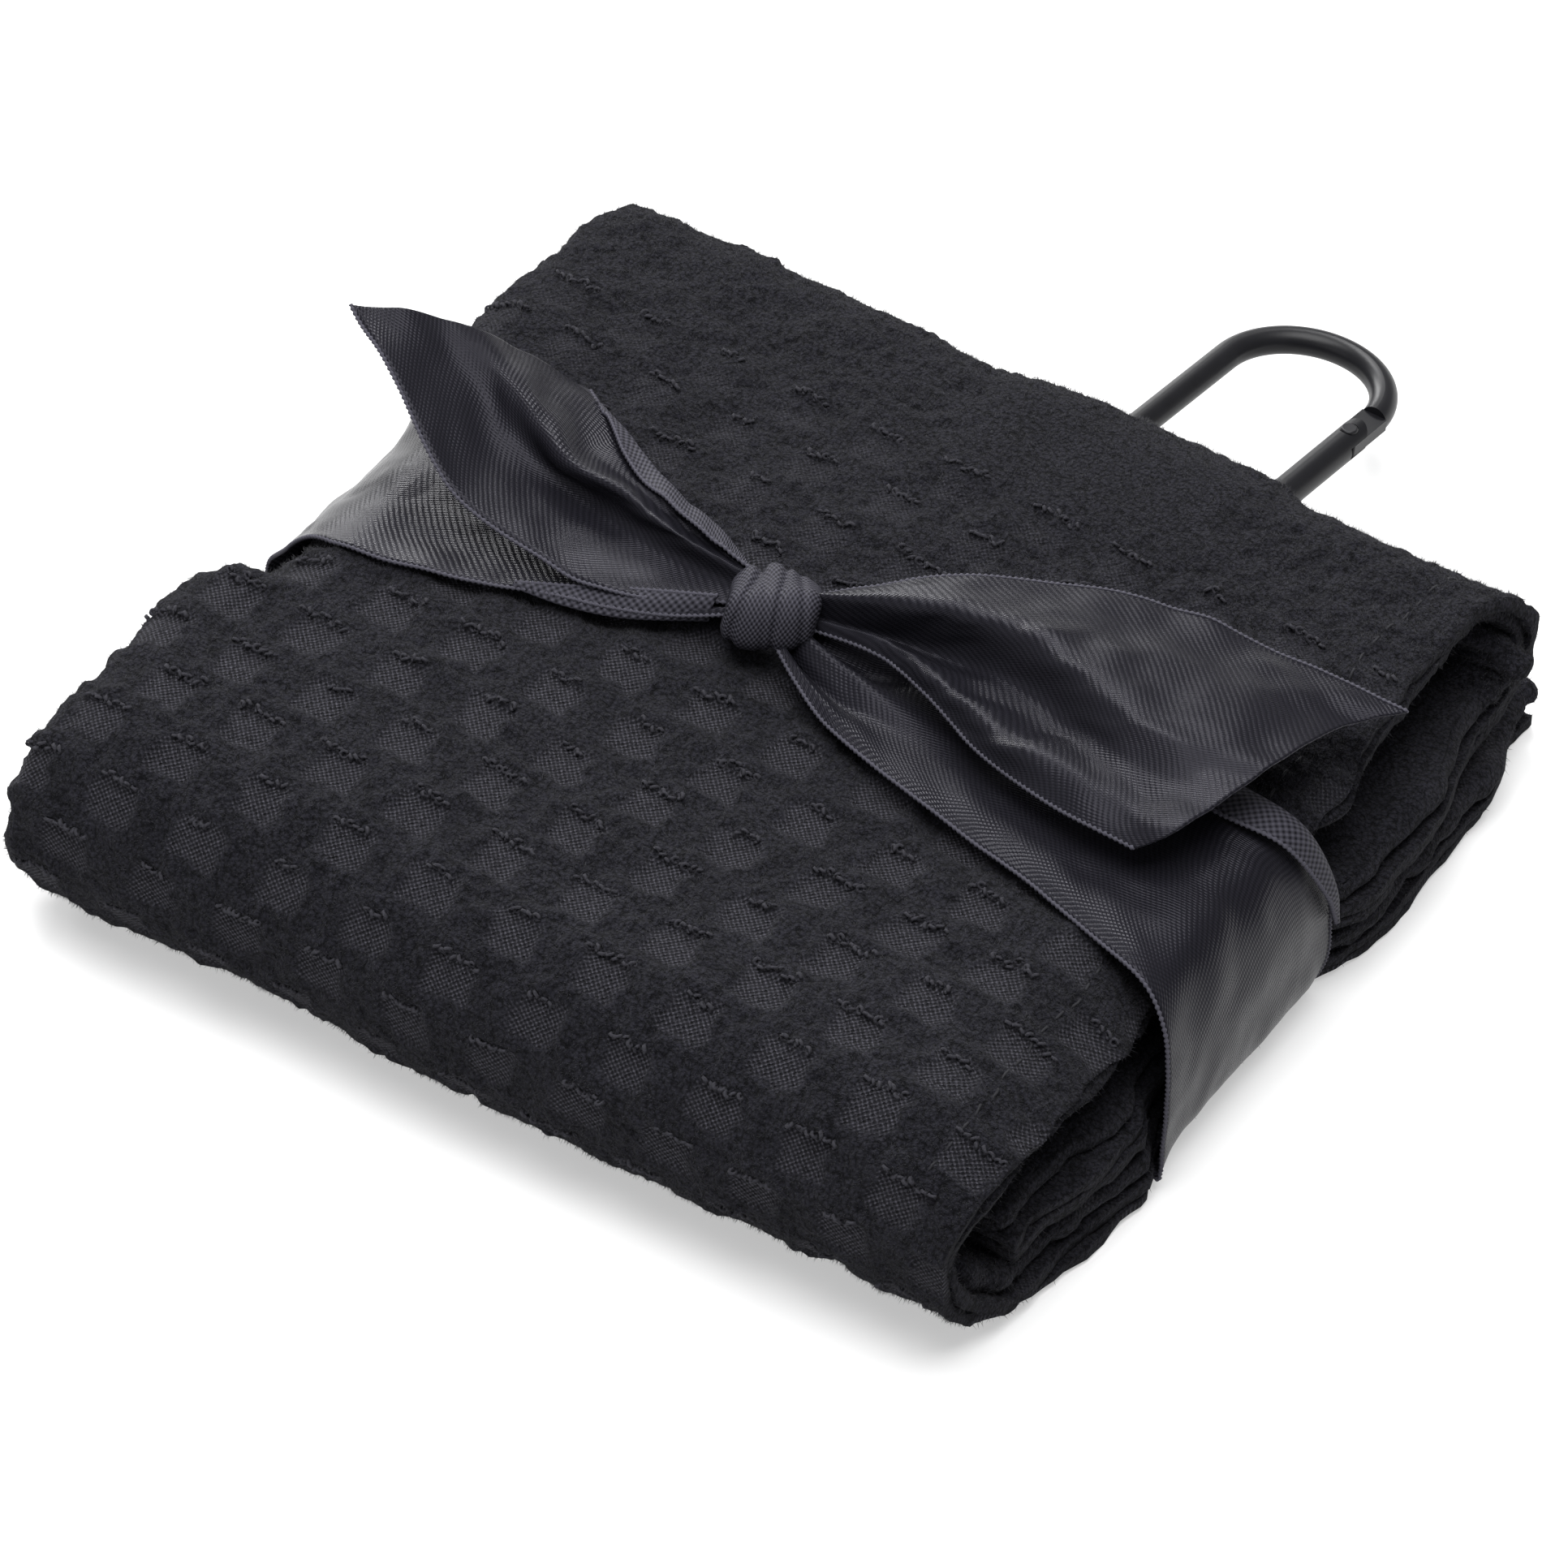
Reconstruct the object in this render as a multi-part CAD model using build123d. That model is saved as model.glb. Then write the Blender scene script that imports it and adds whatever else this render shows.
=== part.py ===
from build123d import *
import os
from math import cos, radians, sin

# A folded golf towel tied with one wide ribbon, with a spring-gate clip through an eyelet
# in its hem. Millimetres. X runs along the folded front edge, Y from front to rear, Z up.
# The origin is the centre of the bundle's underside.

# Folded towel: a 600 x 440 sheet in four along X and in three along Y.
SHEET_LENGTH = 600.0
SHEET_WIDTH = 440.0
BUNDLE_X = SHEET_LENGTH / 4
BUNDLE_Y = SHEET_WIDTH / 3
BUNDLE_Z = 34.0
BOTTOM_PANEL_Z = 10.5
UPPER_PANEL_SETBACK = 4.5
FRONT_CREASE_R = BUNDLE_Z / 2
BACK_CREASE_R = 9.0
LEFT_END_R = 14.0
RIGHT_END_R = 3.0
HEM_R = 2.0

# Ribbon: one strip, along X round the bundle, a little askew.
RIBBON_WIDTH = 38.0
RIBBON_THICKNESS = 0.5
RIBBON_GAP = 0.05
RIBBON_Y_LEFT = 4.0
RIBBON_Y_RIGHT = -5.0
PINCH_HALF_WIDTH = 5.5
PINCH_REACH = 62.0
KNOT_SIZE = (15.0, 13.0, 9.4)
KNOT_CENTRE = (-2.0, 1.5)
KNOT_ROUND = 3.8
LEFT_TAIL_CORNERS = [(-6.0, 1.0, 40.0), (-40.0, -3.0, 46.0), (-74.0, 6.0, 53.0), (-46.0, 21.0, 40.0)]
RIGHT_TAIL_CORNERS = [(2.0, 2.0, 41.5), (30.0, 17.0, 41.5), (78.0, 29.0, 41.5), (64.0, -10.0, 41.5),
                      (44.0, -13.0, 41.5)]

# Clip: a round wire bent to a closed oval, with a swinging gate for its right leg.
WIRE_D = 4.1
LEG_OFFSET = 12.2
CLIP_LENGTH = 60.0
CLIP_EYE_POINT = (16.8, 60.9, 17.1)
CLIP_YAW = 1.4
CLIP_DROOP = 7.5
INNER_BEND_Y = LEG_OFFSET
OUTER_BEND_Y = CLIP_LENGTH - WIRE_D - LEG_OFFSET
PIVOT_Y = OUTER_BEND_Y - 6.1
TONGUE_THICKNESS = 1.8
TONGUE_STEP_Y = OUTER_BEND_Y + 1.0
TONGUE_END = 1.6
CAM_HALF_WIDTH = 1.3
CAM_ROUND = 0.35
NOSE_THICKNESS = 1.4
NOSE_TOP_Y = 16.9

# Gate, its rivet, its latch pin and the plunger and spring inside it.
GATE_D = 4.6
GATE_END_Y = 12.8
EAR_LENGTH = 3.0
EAR_GAP = 0.1
EAR_FLAT_Z = 2.05
RIVET_R = 0.85
RIVET_CLEARANCE = 0.05
RIVET_HEAD_R = 1.25
RIVET_HEAD_Z = 0.38
SPOT_FACE_R = 1.4
LATCH_PIN_R = 0.55
LATCH_PIN_Y = 15.4
LATCH_CLEARANCE = 0.2
NOSE_SLOT_TOP_Y = 17.6
BORE_R = 1.3
BORE_END_Y = 24.0
GATE_SLOT_BOTTOM = 2.4
PLUNGER_R = 1.22
PLUNGER_GAP = 0.12
PLUNGER_LENGTH = 3.0
PLUNGER_TRAVEL = 0.3
SPRING_WIRE_R = 0.16
SPRING_MEAN_R = 1.0
SPRING_PITCH = 1.0

# Eyelet in the hem, tilted so that the flat-lying clip can pass through it.
EYELET_HOLE_R = 5.5
EYELET_WALL = 0.6
EYELET_FLANGE_R = 9.5
EYELET_LIP_R = 7.3
EYELET_LIP_Z = 0.5
EYELET_TILT = 45.0
HEM_CLOTH_Z = 2.0

# Hollow between the panels where the clip lies.
POCKET_X = (-1.4, 35.1)
POCKET_Y = (48.9, 86.9)
POCKET_Z = (8.5, 26.0)
HEM_TAB_Y = (49.9, 72.9)
HEM_TAB_REACH = 16.0

# Thread line of the turned hems.
STITCH_LENGTH = 2.4
STITCH_PITCH = 3.4
STITCH_D = 0.35
SIDE_HEM_X = 67.0
REAR_HEM_Y = 71.2

REAR_Y = BUNDLE_Y / 2
RIGHT_X = BUNDLE_X / 2


def clip_plane():
    """The clip's own plane: x across to the gate, y outwards from the eyelet, z out of its face."""
    yaw = radians(CLIP_YAW)
    droop = radians(CLIP_DROOP)
    across = (cos(yaw), -sin(yaw), 0)
    normal = (sin(droop) * sin(yaw), sin(droop) * cos(yaw), cos(droop))
    return Plane(origin=CLIP_EYE_POINT, x_dir=across, z_dir=normal)


def eyelet_plane():
    """Lies in the tilted hem, with z out of the flange."""
    tilt = radians(EYELET_TILT)
    return Plane(origin=CLIP_EYE_POINT, x_dir=(cos(tilt), 0, sin(tilt)), z_dir=(-sin(tilt), 0, cos(tilt)))


def block(x, y, z):
    """A box from three (low, high) pairs."""
    size = [high - low for low, high in (x, y, z)]
    centre = [(high + low) / 2 for low, high in (x, y, z)]
    return Pos(*centre) * Box(*size)


def rod(radius, start, length, direction):
    """A cylinder from a start point along a direction."""
    return extrude(Plane(origin=start, z_dir=direction) * Circle(radius), amount=length)


def side_outline(x_reach, z_low, z_high, left_r, right_r):
    """The bundle seen from the front, in X and Z, with its left end rounder than its right."""
    height = z_high - z_low
    face = Pos(0, (z_low + z_high) / 2) * Rectangle(2 * x_reach, height)
    left = face.vertices().filter_by(lambda v: v.X < 0)
    face = fillet(left, left_r)
    right = face.vertices().filter_by(lambda v: v.X > x_reach - 0.01)
    return fillet(right, right_r)


def along_y(face, reach=90.0):
    return extrude(Plane.XZ * face, amount=reach, both=True)


def end_outline():
    """The bundle seen from the right end, in Y and Z: front crease, two panels, open rear."""
    crease_y = -REAR_Y + FRONT_CREASE_R
    upper_y = REAR_Y - UPPER_PANEL_SETBACK
    upper_low = BOTTOM_PANEL_Z - 0.5
    crease = Pos(crease_y, FRONT_CREASE_R) * Circle(FRONT_CREASE_R)
    bottom = Pos((crease_y + REAR_Y) / 2, BOTTOM_PANEL_Z / 2) * Rectangle(REAR_Y - crease_y, BOTTOM_PANEL_Z)
    bottom = fillet(bottom.vertices().filter_by(lambda v: v.X > 0), HEM_R)
    upper_z = BUNDLE_Z - upper_low
    upper = Pos((crease_y + upper_y) / 2, upper_low + upper_z / 2) * Rectangle(upper_y - crease_y, upper_z)
    upper = fillet(upper.vertices().filter_by(lambda v: v.X > 0 and v.Y > BUNDLE_Z - 1), BACK_CREASE_R)
    return crease + bottom + upper


def ribbon_y(x):
    """The ribbon's centre line: a straight line a little askew to X."""
    share = (x + RIGHT_X) / BUNDLE_X
    return RIBBON_Y_LEFT + share * (RIBBON_Y_RIGHT - RIBBON_Y_LEFT)


def ribbon_zone(margin=0.0):
    """Everything above and below the ribbon's full width."""
    reach = RIGHT_X + 5
    half = RIBBON_WIDTH / 2 + margin
    corners = [(-reach, ribbon_y(-reach) - half), (reach, ribbon_y(reach) - half),
               (reach, ribbon_y(reach) + half), (-reach, ribbon_y(-reach) + half)]
    return Pos(0, 0, -5) * extrude(make_face(Polyline(*corners, close=True)), amount=BUNDLE_Z + 20)


def pinch_waste():
    """What the knot draws in from the ribbon's full width, on the top of the bundle only."""
    half = RIBBON_WIDTH / 2
    top = (BUNDLE_Z - 8, BUNDLE_Z + 10)
    waste = block((-PINCH_REACH, PINCH_REACH), (-60, 60), top)
    knot_x, knot_y = KNOT_CENTRE
    corners = [(-PINCH_REACH, ribbon_y(-PINCH_REACH) - half), (knot_x, knot_y - PINCH_HALF_WIDTH),
               (PINCH_REACH, ribbon_y(PINCH_REACH) - half), (PINCH_REACH, ribbon_y(PINCH_REACH) + half),
               (knot_x, knot_y + PINCH_HALF_WIDTH), (-PINCH_REACH, ribbon_y(-PINCH_REACH) + half)]
    kept = extrude(make_face(Polyline(*corners, close=True)), amount=BUNDLE_Z + 20)
    return waste - kept


def ribbon_core(gap):
    """What the ribbon is wrapped round, less a gap."""
    return along_y(side_outline(RIGHT_X - gap, RIBBON_THICKNESS + gap, BUNDLE_Z - gap,
                                LEFT_END_R - gap, RIGHT_END_R - gap))


def towel_cloth():
    """The folded bundle, with the hollow for the clip and the tilted hem that holds the eyelet."""
    bundle = extrude(Plane.YZ * end_outline(), amount=RIGHT_X, both=True)
    bundle &= along_y(side_outline(RIGHT_X, 0, BUNDLE_Z, LEFT_END_R, RIGHT_END_R))
    bundle -= ribbon_zone(0.3) - ribbon_core(RIBBON_GAP)
    bundle -= block(POCKET_X, POCKET_Y, POCKET_Z)
    tab_centre = sum(HEM_TAB_Y) / 2 - CLIP_EYE_POINT[1]
    tab = Pos(0, tab_centre, 0) * Box(2 * HEM_TAB_REACH, HEM_TAB_Y[1] - HEM_TAB_Y[0], HEM_CLOTH_Z)
    tab -= Cylinder(EYELET_HOLE_R + EYELET_WALL, 3 * HEM_CLOTH_Z)
    tab = eyelet_plane() * tab
    return bundle + (tab & block(POCKET_X, HEM_TAB_Y, POCKET_Z))


def stitch_row(start, step, count, length_along_x):
    """Short straight stitches in a row, lying on the cloth."""
    size = (STITCH_LENGTH, STITCH_D) if length_along_x else (STITCH_D, STITCH_LENGTH)
    stitch = Box(size[0], size[1], STITCH_D)
    x, y, z = start
    return [Pos(x + i * step[0], y + i * step[1], z + STITCH_D / 2) * stitch for i in range(count)]


def hem_stitching():
    side_rear = stitch_row((SIDE_HEM_X, 22.0, BUNDLE_Z), (0, STITCH_PITCH), 11, False)
    side_front = stitch_row((SIDE_HEM_X, -53.0, BUNDLE_Z), (0, STITCH_PITCH), 7, False)
    rear_left = stitch_row((-58.0, REAR_HEM_Y - 1.6, BOTTOM_PANEL_Z), (STITCH_PITCH, 0), 15, True)
    rear_right = stitch_row((37.0, REAR_HEM_Y - 1.6, BOTTOM_PANEL_Z), (STITCH_PITCH, 0), 10, True)
    return Compound(children=side_rear + side_front + rear_left + rear_right)


def ribbon_wrap():
    outer = along_y(side_outline(RIGHT_X + RIBBON_THICKNESS, 0, BUNDLE_Z + RIBBON_THICKNESS,
                                 LEFT_END_R + RIBBON_THICKNESS, RIGHT_END_R + RIBBON_THICKNESS))
    band = (outer - ribbon_core(0)) & ribbon_zone()
    return band - pinch_waste()


def ribbon_knot():
    x, y = KNOT_CENTRE
    knot = Box(*KNOT_SIZE)
    knot = fillet(knot.edges(), KNOT_ROUND)
    return Pos(x, y, BUNDLE_Z + RIBBON_THICKNESS + KNOT_SIZE[2] / 2) * knot


def ribbon_tail(corners):
    """A flat stiff end of the ribbon, in the plane of its first, third and fourth corners."""
    first, third, fourth = (Vector(*corners[i]) for i in (0, 2, 3))
    normal = (third - first).cross(fourth - first)
    plane = Plane(origin=first, x_dir=third - first, z_dir=normal)
    flat = [plane.to_local_coords(Vector(*corner)) for corner in corners]
    outline = make_face(Polyline(*[(p.X, p.Y) for p in flat], close=True))
    return plane * extrude(outline, amount=RIBBON_THICKNESS / 2, both=True)


def clip_frame():
    """Bent wire from the hinge tongue round to the latch nose."""
    path = CenterArc((0, OUTER_BEND_Y), LEG_OFFSET, 0, 180)
    path += Line((-LEG_OFFSET, OUTER_BEND_Y), (-LEG_OFFSET, INNER_BEND_Y))
    path += CenterArc((0, INNER_BEND_Y), LEG_OFFSET, 180, 180)
    wire = sweep(Plane(origin=path @ 0, z_dir=path % 0) * Circle(WIRE_D / 2), path=path)
    right = (LEG_OFFSET - WIRE_D, LEG_OFFSET + WIRE_D)
    below_step = (OUTER_BEND_Y - 1, TONGUE_STEP_Y)
    wire -= block(right, below_step, (TONGUE_THICKNESS / 2, WIRE_D))
    wire -= block(right, below_step, (-WIRE_D, -TONGUE_THICKNESS / 2))
    half = WIRE_D / 2
    tongue = Polyline((LEG_OFFSET - half, TONGUE_STEP_Y), (LEG_OFFSET - half, PIVOT_Y + 3.0),
                      (LEG_OFFSET - CAM_HALF_WIDTH, PIVOT_Y + 1.2),
                      (LEG_OFFSET - CAM_HALF_WIDTH, PIVOT_Y - TONGUE_END),
                      (LEG_OFFSET + half, PIVOT_Y - TONGUE_END), (LEG_OFFSET + half, TONGUE_STEP_Y), close=True)
    tongue = make_face(tongue)
    cam_corners = tongue.vertices().filter_by(lambda v: v.Y < PIVOT_Y)
    tongue = extrude(fillet(cam_corners, CAM_ROUND), amount=TONGUE_THICKNESS / 2, both=True)
    nose = block((LEG_OFFSET - 1.5, LEG_OFFSET + 1.9), (INNER_BEND_Y - 0.5, NOSE_TOP_Y),
                 (-NOSE_THICKNESS / 2, NOSE_THICKNESS / 2))
    notch_r = LATCH_PIN_R + LATCH_CLEARANCE
    notch = Pos(LEG_OFFSET, LATCH_PIN_Y) * Cylinder(notch_r, WIRE_D)
    notch += block((LEG_OFFSET - WIRE_D, LEG_OFFSET), (LATCH_PIN_Y - notch_r, LATCH_PIN_Y + notch_r),
                   (-WIRE_D / 2, WIRE_D / 2))
    hole = Pos(LEG_OFFSET, PIVOT_Y) * Cylinder(RIVET_R, WIRE_D)
    return clip_plane() * (wire + (tongue - hole) + (nose - notch))


def clip_gate():
    """Drilled rod with a slot at each end: the hinge ears and the latch fork."""
    top_y = PIVOT_Y + EAR_LENGTH
    gate = rod(GATE_D / 2, (LEG_OFFSET, GATE_END_Y, 0), top_y - GATE_END_Y, (0, 1, 0))
    round_y = top_y - GATE_D / 2
    outline = Pos(LEG_OFFSET, (GATE_END_Y + round_y) / 2) * Rectangle(GATE_D, round_y - GATE_END_Y)
    outline += Pos(LEG_OFFSET, round_y) * Circle(GATE_D / 2)
    gate &= extrude(outline, amount=GATE_D, both=True)
    slot_z = TONGUE_THICKNESS / 2 + EAR_GAP
    all_x = (LEG_OFFSET - GATE_D, LEG_OFFSET + GATE_D)
    gate -= block(all_x, (PIVOT_Y - GATE_SLOT_BOTTOM, top_y + 1), (-slot_z, slot_z))
    gate -= rod(BORE_R, (LEG_OFFSET, BORE_END_Y, 0), PIVOT_Y - TONGUE_END - BORE_END_Y + 0.1, (0, 1, 0))
    nose_z = NOSE_THICKNESS / 2 + 0.25
    gate -= block(all_x, (GATE_END_Y - 1, NOSE_SLOT_TOP_Y), (-nose_z, nose_z))
    gate -= Pos(LEG_OFFSET, PIVOT_Y) * Cylinder(RIVET_R + RIVET_CLEARANCE, 2 * GATE_D)
    gate -= Pos(LEG_OFFSET, LATCH_PIN_Y) * Cylinder(LATCH_PIN_R, 2 * GATE_D)
    for side in (-1, 1):
        spot = rod(SPOT_FACE_R, (LEG_OFFSET, PIVOT_Y, side * EAR_FLAT_Z), 1.0, (0, 0, side))
        gate -= spot
    return clip_plane() * gate


def gate_rivet():
    """Headed at both ends, tight in the tongue and free in the ears."""
    head_low = EAR_FLAT_Z + RIVET_CLEARANCE
    rivet = Pos(LEG_OFFSET, PIVOT_Y) * Cylinder(RIVET_R, 2 * head_low)
    for side in (-1, 1):
        head = rod(RIVET_HEAD_R, (LEG_OFFSET, PIVOT_Y, side * head_low), RIVET_HEAD_Z, (0, 0, side))
        crown = head.faces().sort_by(Axis.Z)[-1 if side > 0 else 0].edges()
        rivet += fillet(crown, RIVET_HEAD_Z * 0.8)
    return clip_plane() * rivet


def gate_latch_pin():
    return clip_plane() * (Pos(LEG_OFFSET, LATCH_PIN_Y) * Cylinder(LATCH_PIN_R, 2 * EAR_FLAT_Z))


def gate_plunger():
    tip_y = PIVOT_Y - TONGUE_END - PLUNGER_GAP
    plunger = rod(PLUNGER_R, (LEG_OFFSET, tip_y - PLUNGER_LENGTH, 0), PLUNGER_LENGTH, (0, 1, 0))
    return clip_plane() * chamfer(plunger.edges(), 0.15)


def gate_spring():
    """Drawn at its length with the gate open, so it never meets the plunger's end."""
    base_y = PIVOT_Y - TONGUE_END - PLUNGER_GAP - PLUNGER_LENGTH - PLUNGER_TRAVEL
    low = BORE_END_Y + SPRING_WIRE_R
    height = base_y - SPRING_WIRE_R - 0.05 - low
    coil = Helix(SPRING_PITCH, height, SPRING_MEAN_R)
    spring = sweep(Plane(origin=coil @ 0, z_dir=coil % 0) * Circle(SPRING_WIRE_R), path=coil)
    return clip_plane() * (Pos(LEG_OFFSET, low, 0) * Rot(-90, 0, 0) * spring)


def disc(outer_r, inner_r, z_low, z_high):
    middle = (z_low + z_high) / 2
    height = z_high - z_low
    return Pos(0, 0, middle) * (Cylinder(outer_r, height) - Cylinder(inner_r, height))


def eyelet_barrel():
    """Flange, barrel and the lip that is rolled over the washer."""
    face = HEM_CLOTH_Z / 2
    flange = disc(EYELET_FLANGE_R, EYELET_HOLE_R, face, face + EYELET_WALL)
    flange = fillet(flange.edges().filter_by(GeomType.CIRCLE).sort_by(Axis.Z)[-1], EYELET_WALL * 0.4)
    barrel_low = -face - EYELET_WALL - EYELET_LIP_Z
    barrel = disc(EYELET_HOLE_R + EYELET_WALL, EYELET_HOLE_R, barrel_low, face + EYELET_WALL / 2)
    lip = disc(EYELET_LIP_R, EYELET_HOLE_R, barrel_low, -face - EYELET_WALL)
    return eyelet_plane() * (flange + barrel + lip)


def eyelet_washer():
    face = HEM_CLOTH_Z / 2
    return eyelet_plane() * disc(EYELET_FLANGE_R, EYELET_HOLE_R + EYELET_WALL, -face - EYELET_WALL, -face)


NODES = {
    "towel_cloth": towel_cloth,
    "hem_stitching": hem_stitching,
    "eyelet_barrel": eyelet_barrel,
    "eyelet_washer": eyelet_washer,
    "clip_frame": clip_frame,
    "clip_gate": clip_gate,
    "gate_rivet": gate_rivet,
    "gate_latch_pin": gate_latch_pin,
    "gate_plunger": gate_plunger,
    "gate_spring": gate_spring,
    "ribbon_wrap": ribbon_wrap,
    "ribbon_knot": ribbon_knot,
    "ribbon_tail_left": lambda: ribbon_tail(LEFT_TAIL_CORNERS),
    "ribbon_tail_right": lambda: ribbon_tail(RIGHT_TAIL_CORNERS),
}

os.makedirs("parts", exist_ok=True)
for name, make in NODES.items():
    export_step(make(), f"parts/{name}.step")
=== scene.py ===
import math

import bpy
import numpy as np
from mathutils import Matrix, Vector


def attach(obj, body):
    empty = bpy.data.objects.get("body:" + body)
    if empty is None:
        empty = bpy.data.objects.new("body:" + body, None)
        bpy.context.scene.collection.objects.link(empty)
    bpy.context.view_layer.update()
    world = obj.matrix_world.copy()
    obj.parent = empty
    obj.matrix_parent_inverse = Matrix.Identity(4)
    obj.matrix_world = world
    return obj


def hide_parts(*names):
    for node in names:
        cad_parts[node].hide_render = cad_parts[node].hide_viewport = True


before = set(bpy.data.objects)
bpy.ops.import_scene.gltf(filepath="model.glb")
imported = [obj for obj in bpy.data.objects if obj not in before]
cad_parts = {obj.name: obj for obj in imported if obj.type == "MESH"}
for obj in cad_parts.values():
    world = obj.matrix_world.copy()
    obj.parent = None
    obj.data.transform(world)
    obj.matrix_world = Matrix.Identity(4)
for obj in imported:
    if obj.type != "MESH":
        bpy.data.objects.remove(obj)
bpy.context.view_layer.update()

MM = 0.001

# The camera, at the viewing angle of the reference: degrees, metres and millimetres.
CAMERA_AZIMUTH = 34.6
CAMERA_ELEVATION = 44.4
CAMERA_DISTANCE = 1.0076
CAMERA_LENS = 173.3
CAMERA_AIM = Vector((0.0065, -0.0080, 0.0170))

# The folded cloth, in millimetres: a 600 x 440 sheet, folded in four along X, then in three along Y.
# The flat sheet's own size is in metres.
LAYER = 2.1
PANEL = 4 * LAYER
HALF_CLOTH = 0.9
TOP_Z = 34.0
FRONT_R = 17.0
FRONT_CENTRE_Y = -73.33 + FRONT_R
BACK_OUTER_R = 11.75
BACK_Y = 69.6
BACK_CENTRE_Y = BACK_Y - BACK_OUTER_R
BOTTOM_REAR_Y = 73.6
MIDDLE_FRONT_Y = -60.6
LEFT_X, RIGHT_X = -75.0, 75.0
CLOTH_LOW, THREAD_LOW, RIBBON_LOW = 0.05, 0.02, 0.2
FINE_STEP = 0.5
EDGE_STEP = 0.9
COARSE_STEP = 3.0

# The woven check: flat squares on a skewed lattice, with a row of uncut loops behind each one.
CHECK_A = np.array((5.1, 9.15))
CHECK_B = np.array((8.6, -9.4))
CHECK_ORIGIN = np.array((-4.9, -25.5))
SQUARE_HALF = (3.5, 3.1)
SQUARE_DEPTH = 0.55
CHECK_END_Y = 42.5


# ---------------- small tools

def smooth(x, low, high):
    """0 below low, 1 above high, and an even ramp between."""
    t = np.clip((x - low) / (high - low), 0.0, 1.0)
    return t * t * (3.0 - 2.0 * t)


def plateau(x, low, high, ramp):
    """1 between low and high, falling to 0 over ramp outside."""
    return smooth(x, low - ramp, low) * (1.0 - smooth(x, high, high + ramp))


def noise(x, y, cell, seed):
    """Smooth noise from -1 to 1 over a plane, one value per cell."""
    size = 256
    table = np.random.default_rng(seed).uniform(-1.0, 1.0, (size, size))
    gx, gy = x / cell, y / cell
    ix, iy = np.floor(gx).astype(int), np.floor(gy).astype(int)
    fx, fy = gx - ix, gy - iy
    fx, fy = fx * fx * (3 - 2 * fx), fy * fy * (3 - 2 * fy)
    ix0, iy0, ix1, iy1 = ix % size, iy % size, (ix + 1) % size, (iy + 1) % size
    low = table[ix0, iy0] * (1 - fx) + table[ix1, iy0] * fx
    high = table[ix0, iy1] * (1 - fx) + table[ix1, iy1] * fx
    return low * (1 - fy) + high * fy


def vectors(*parts):
    """Vectors from their three parts, each an array of the same shape."""
    return np.stack(parts, axis=-1)


def unit(v):
    return v / np.maximum(np.linalg.norm(v, axis=-1, keepdims=True), 1e-12)


def grid_normals(points):
    """Unit normals of a grid of points, one for each point."""
    down, along = np.gradient(points, axis=0), np.gradient(points, axis=1)
    return unit(np.cross(down, along))


def quads(*corners):
    """Faces from four grids of vertex numbers, one for each corner."""
    return np.stack(corners, axis=-1).reshape(-1, 4)


def grid_faces(rows, cols, first=0, flip=False):
    """The quads of a rows x cols grid of vertices."""
    index = first + np.arange(rows * cols).reshape(rows, cols)
    faces = quads(index[:-1, :-1], index[1:, :-1], index[1:, 1:], index[:-1, 1:])
    return faces[:, ::-1] if flip else faces


def rim(rows, cols):
    """The boundary vertices of a grid, once round."""
    index = np.arange(rows * cols).reshape(rows, cols)
    return np.concatenate((index[:, 0], index[-1, 1:], index[-2::-1, -1], index[0, -2:0:-1]))


def between(grid, row, col, down, along):
    """Values among four grid points: down and along are the shares of the way to the next ones."""
    near = grid[row, col] * (1 - along) + grid[row, col + 1] * along
    far = grid[row + 1, col] * (1 - along) + grid[row + 1, col + 1] * along
    return near * (1 - down) + far * down


def neighbours(grid):
    """Nine copies of a grid, moved by up to one cell each way."""
    return [np.roll(grid, (i, j), (0, 1)) for i in (-1, 0, 1) for j in (-1, 0, 1)]


def put(name, data):
    """A new object that holds data, linked into the scene."""
    made = bpy.data.objects.new(name, data)
    bpy.context.scene.collection.objects.link(made)
    return made


def signed_volume(points, faces):
    """Six times the volume inside a closed shell: below 0 when its faces look inwards."""
    corner = [points[faces[:, k]] - points.mean(axis=0) for k in range(faces.shape[1])]
    return sum((corner[0] * np.cross(corner[k], corner[k + 1])).sum() for k in range(1, len(corner) - 1))


class Soup:
    """Closed shells with a note at every vertex, gathered into one mesh and turned to face outwards."""

    def __init__(self):
        self.points, self.notes, self.faces, self.count = [], [], [], 0

    def add(self, points, faces, notes):
        points, faces = np.asarray(points, float).reshape(-1, 3), np.asarray(faces)
        if signed_volume(points, faces) < 0:
            faces = faces[:, ::-1]
        self.points.append(points)
        self.notes.append(np.asarray(notes, float).reshape(-1, 3))
        self.faces.append(faces + self.count)
        self.count += len(points)

    def mesh(self, name, material, body, slot):
        points = np.concatenate(self.points) * MM
        faces = np.concatenate(self.faces)
        mesh = bpy.data.meshes.new(name)
        sides = faces.shape[1]
        mesh.vertices.add(len(points))
        mesh.vertices.foreach_set("co", points.astype(np.float32).ravel())
        mesh.loops.add(faces.size)
        mesh.loops.foreach_set("vertex_index", faces.astype(np.int32).ravel())
        mesh.polygons.add(len(faces))
        mesh.polygons.foreach_set("loop_start", np.arange(0, faces.size, sides, dtype=np.int32))
        mesh.polygons.foreach_set("use_smooth", np.ones(len(faces), bool))
        mesh.update(calc_edges=True)
        note = mesh.attributes.new("cloth", "FLOAT_VECTOR", "POINT")
        note.data.foreach_set("vector", np.concatenate(self.notes).astype(np.float32).ravel())
        mesh.materials.append(material)
        piece = put(name, mesh)
        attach(piece, body)
        return piece


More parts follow.
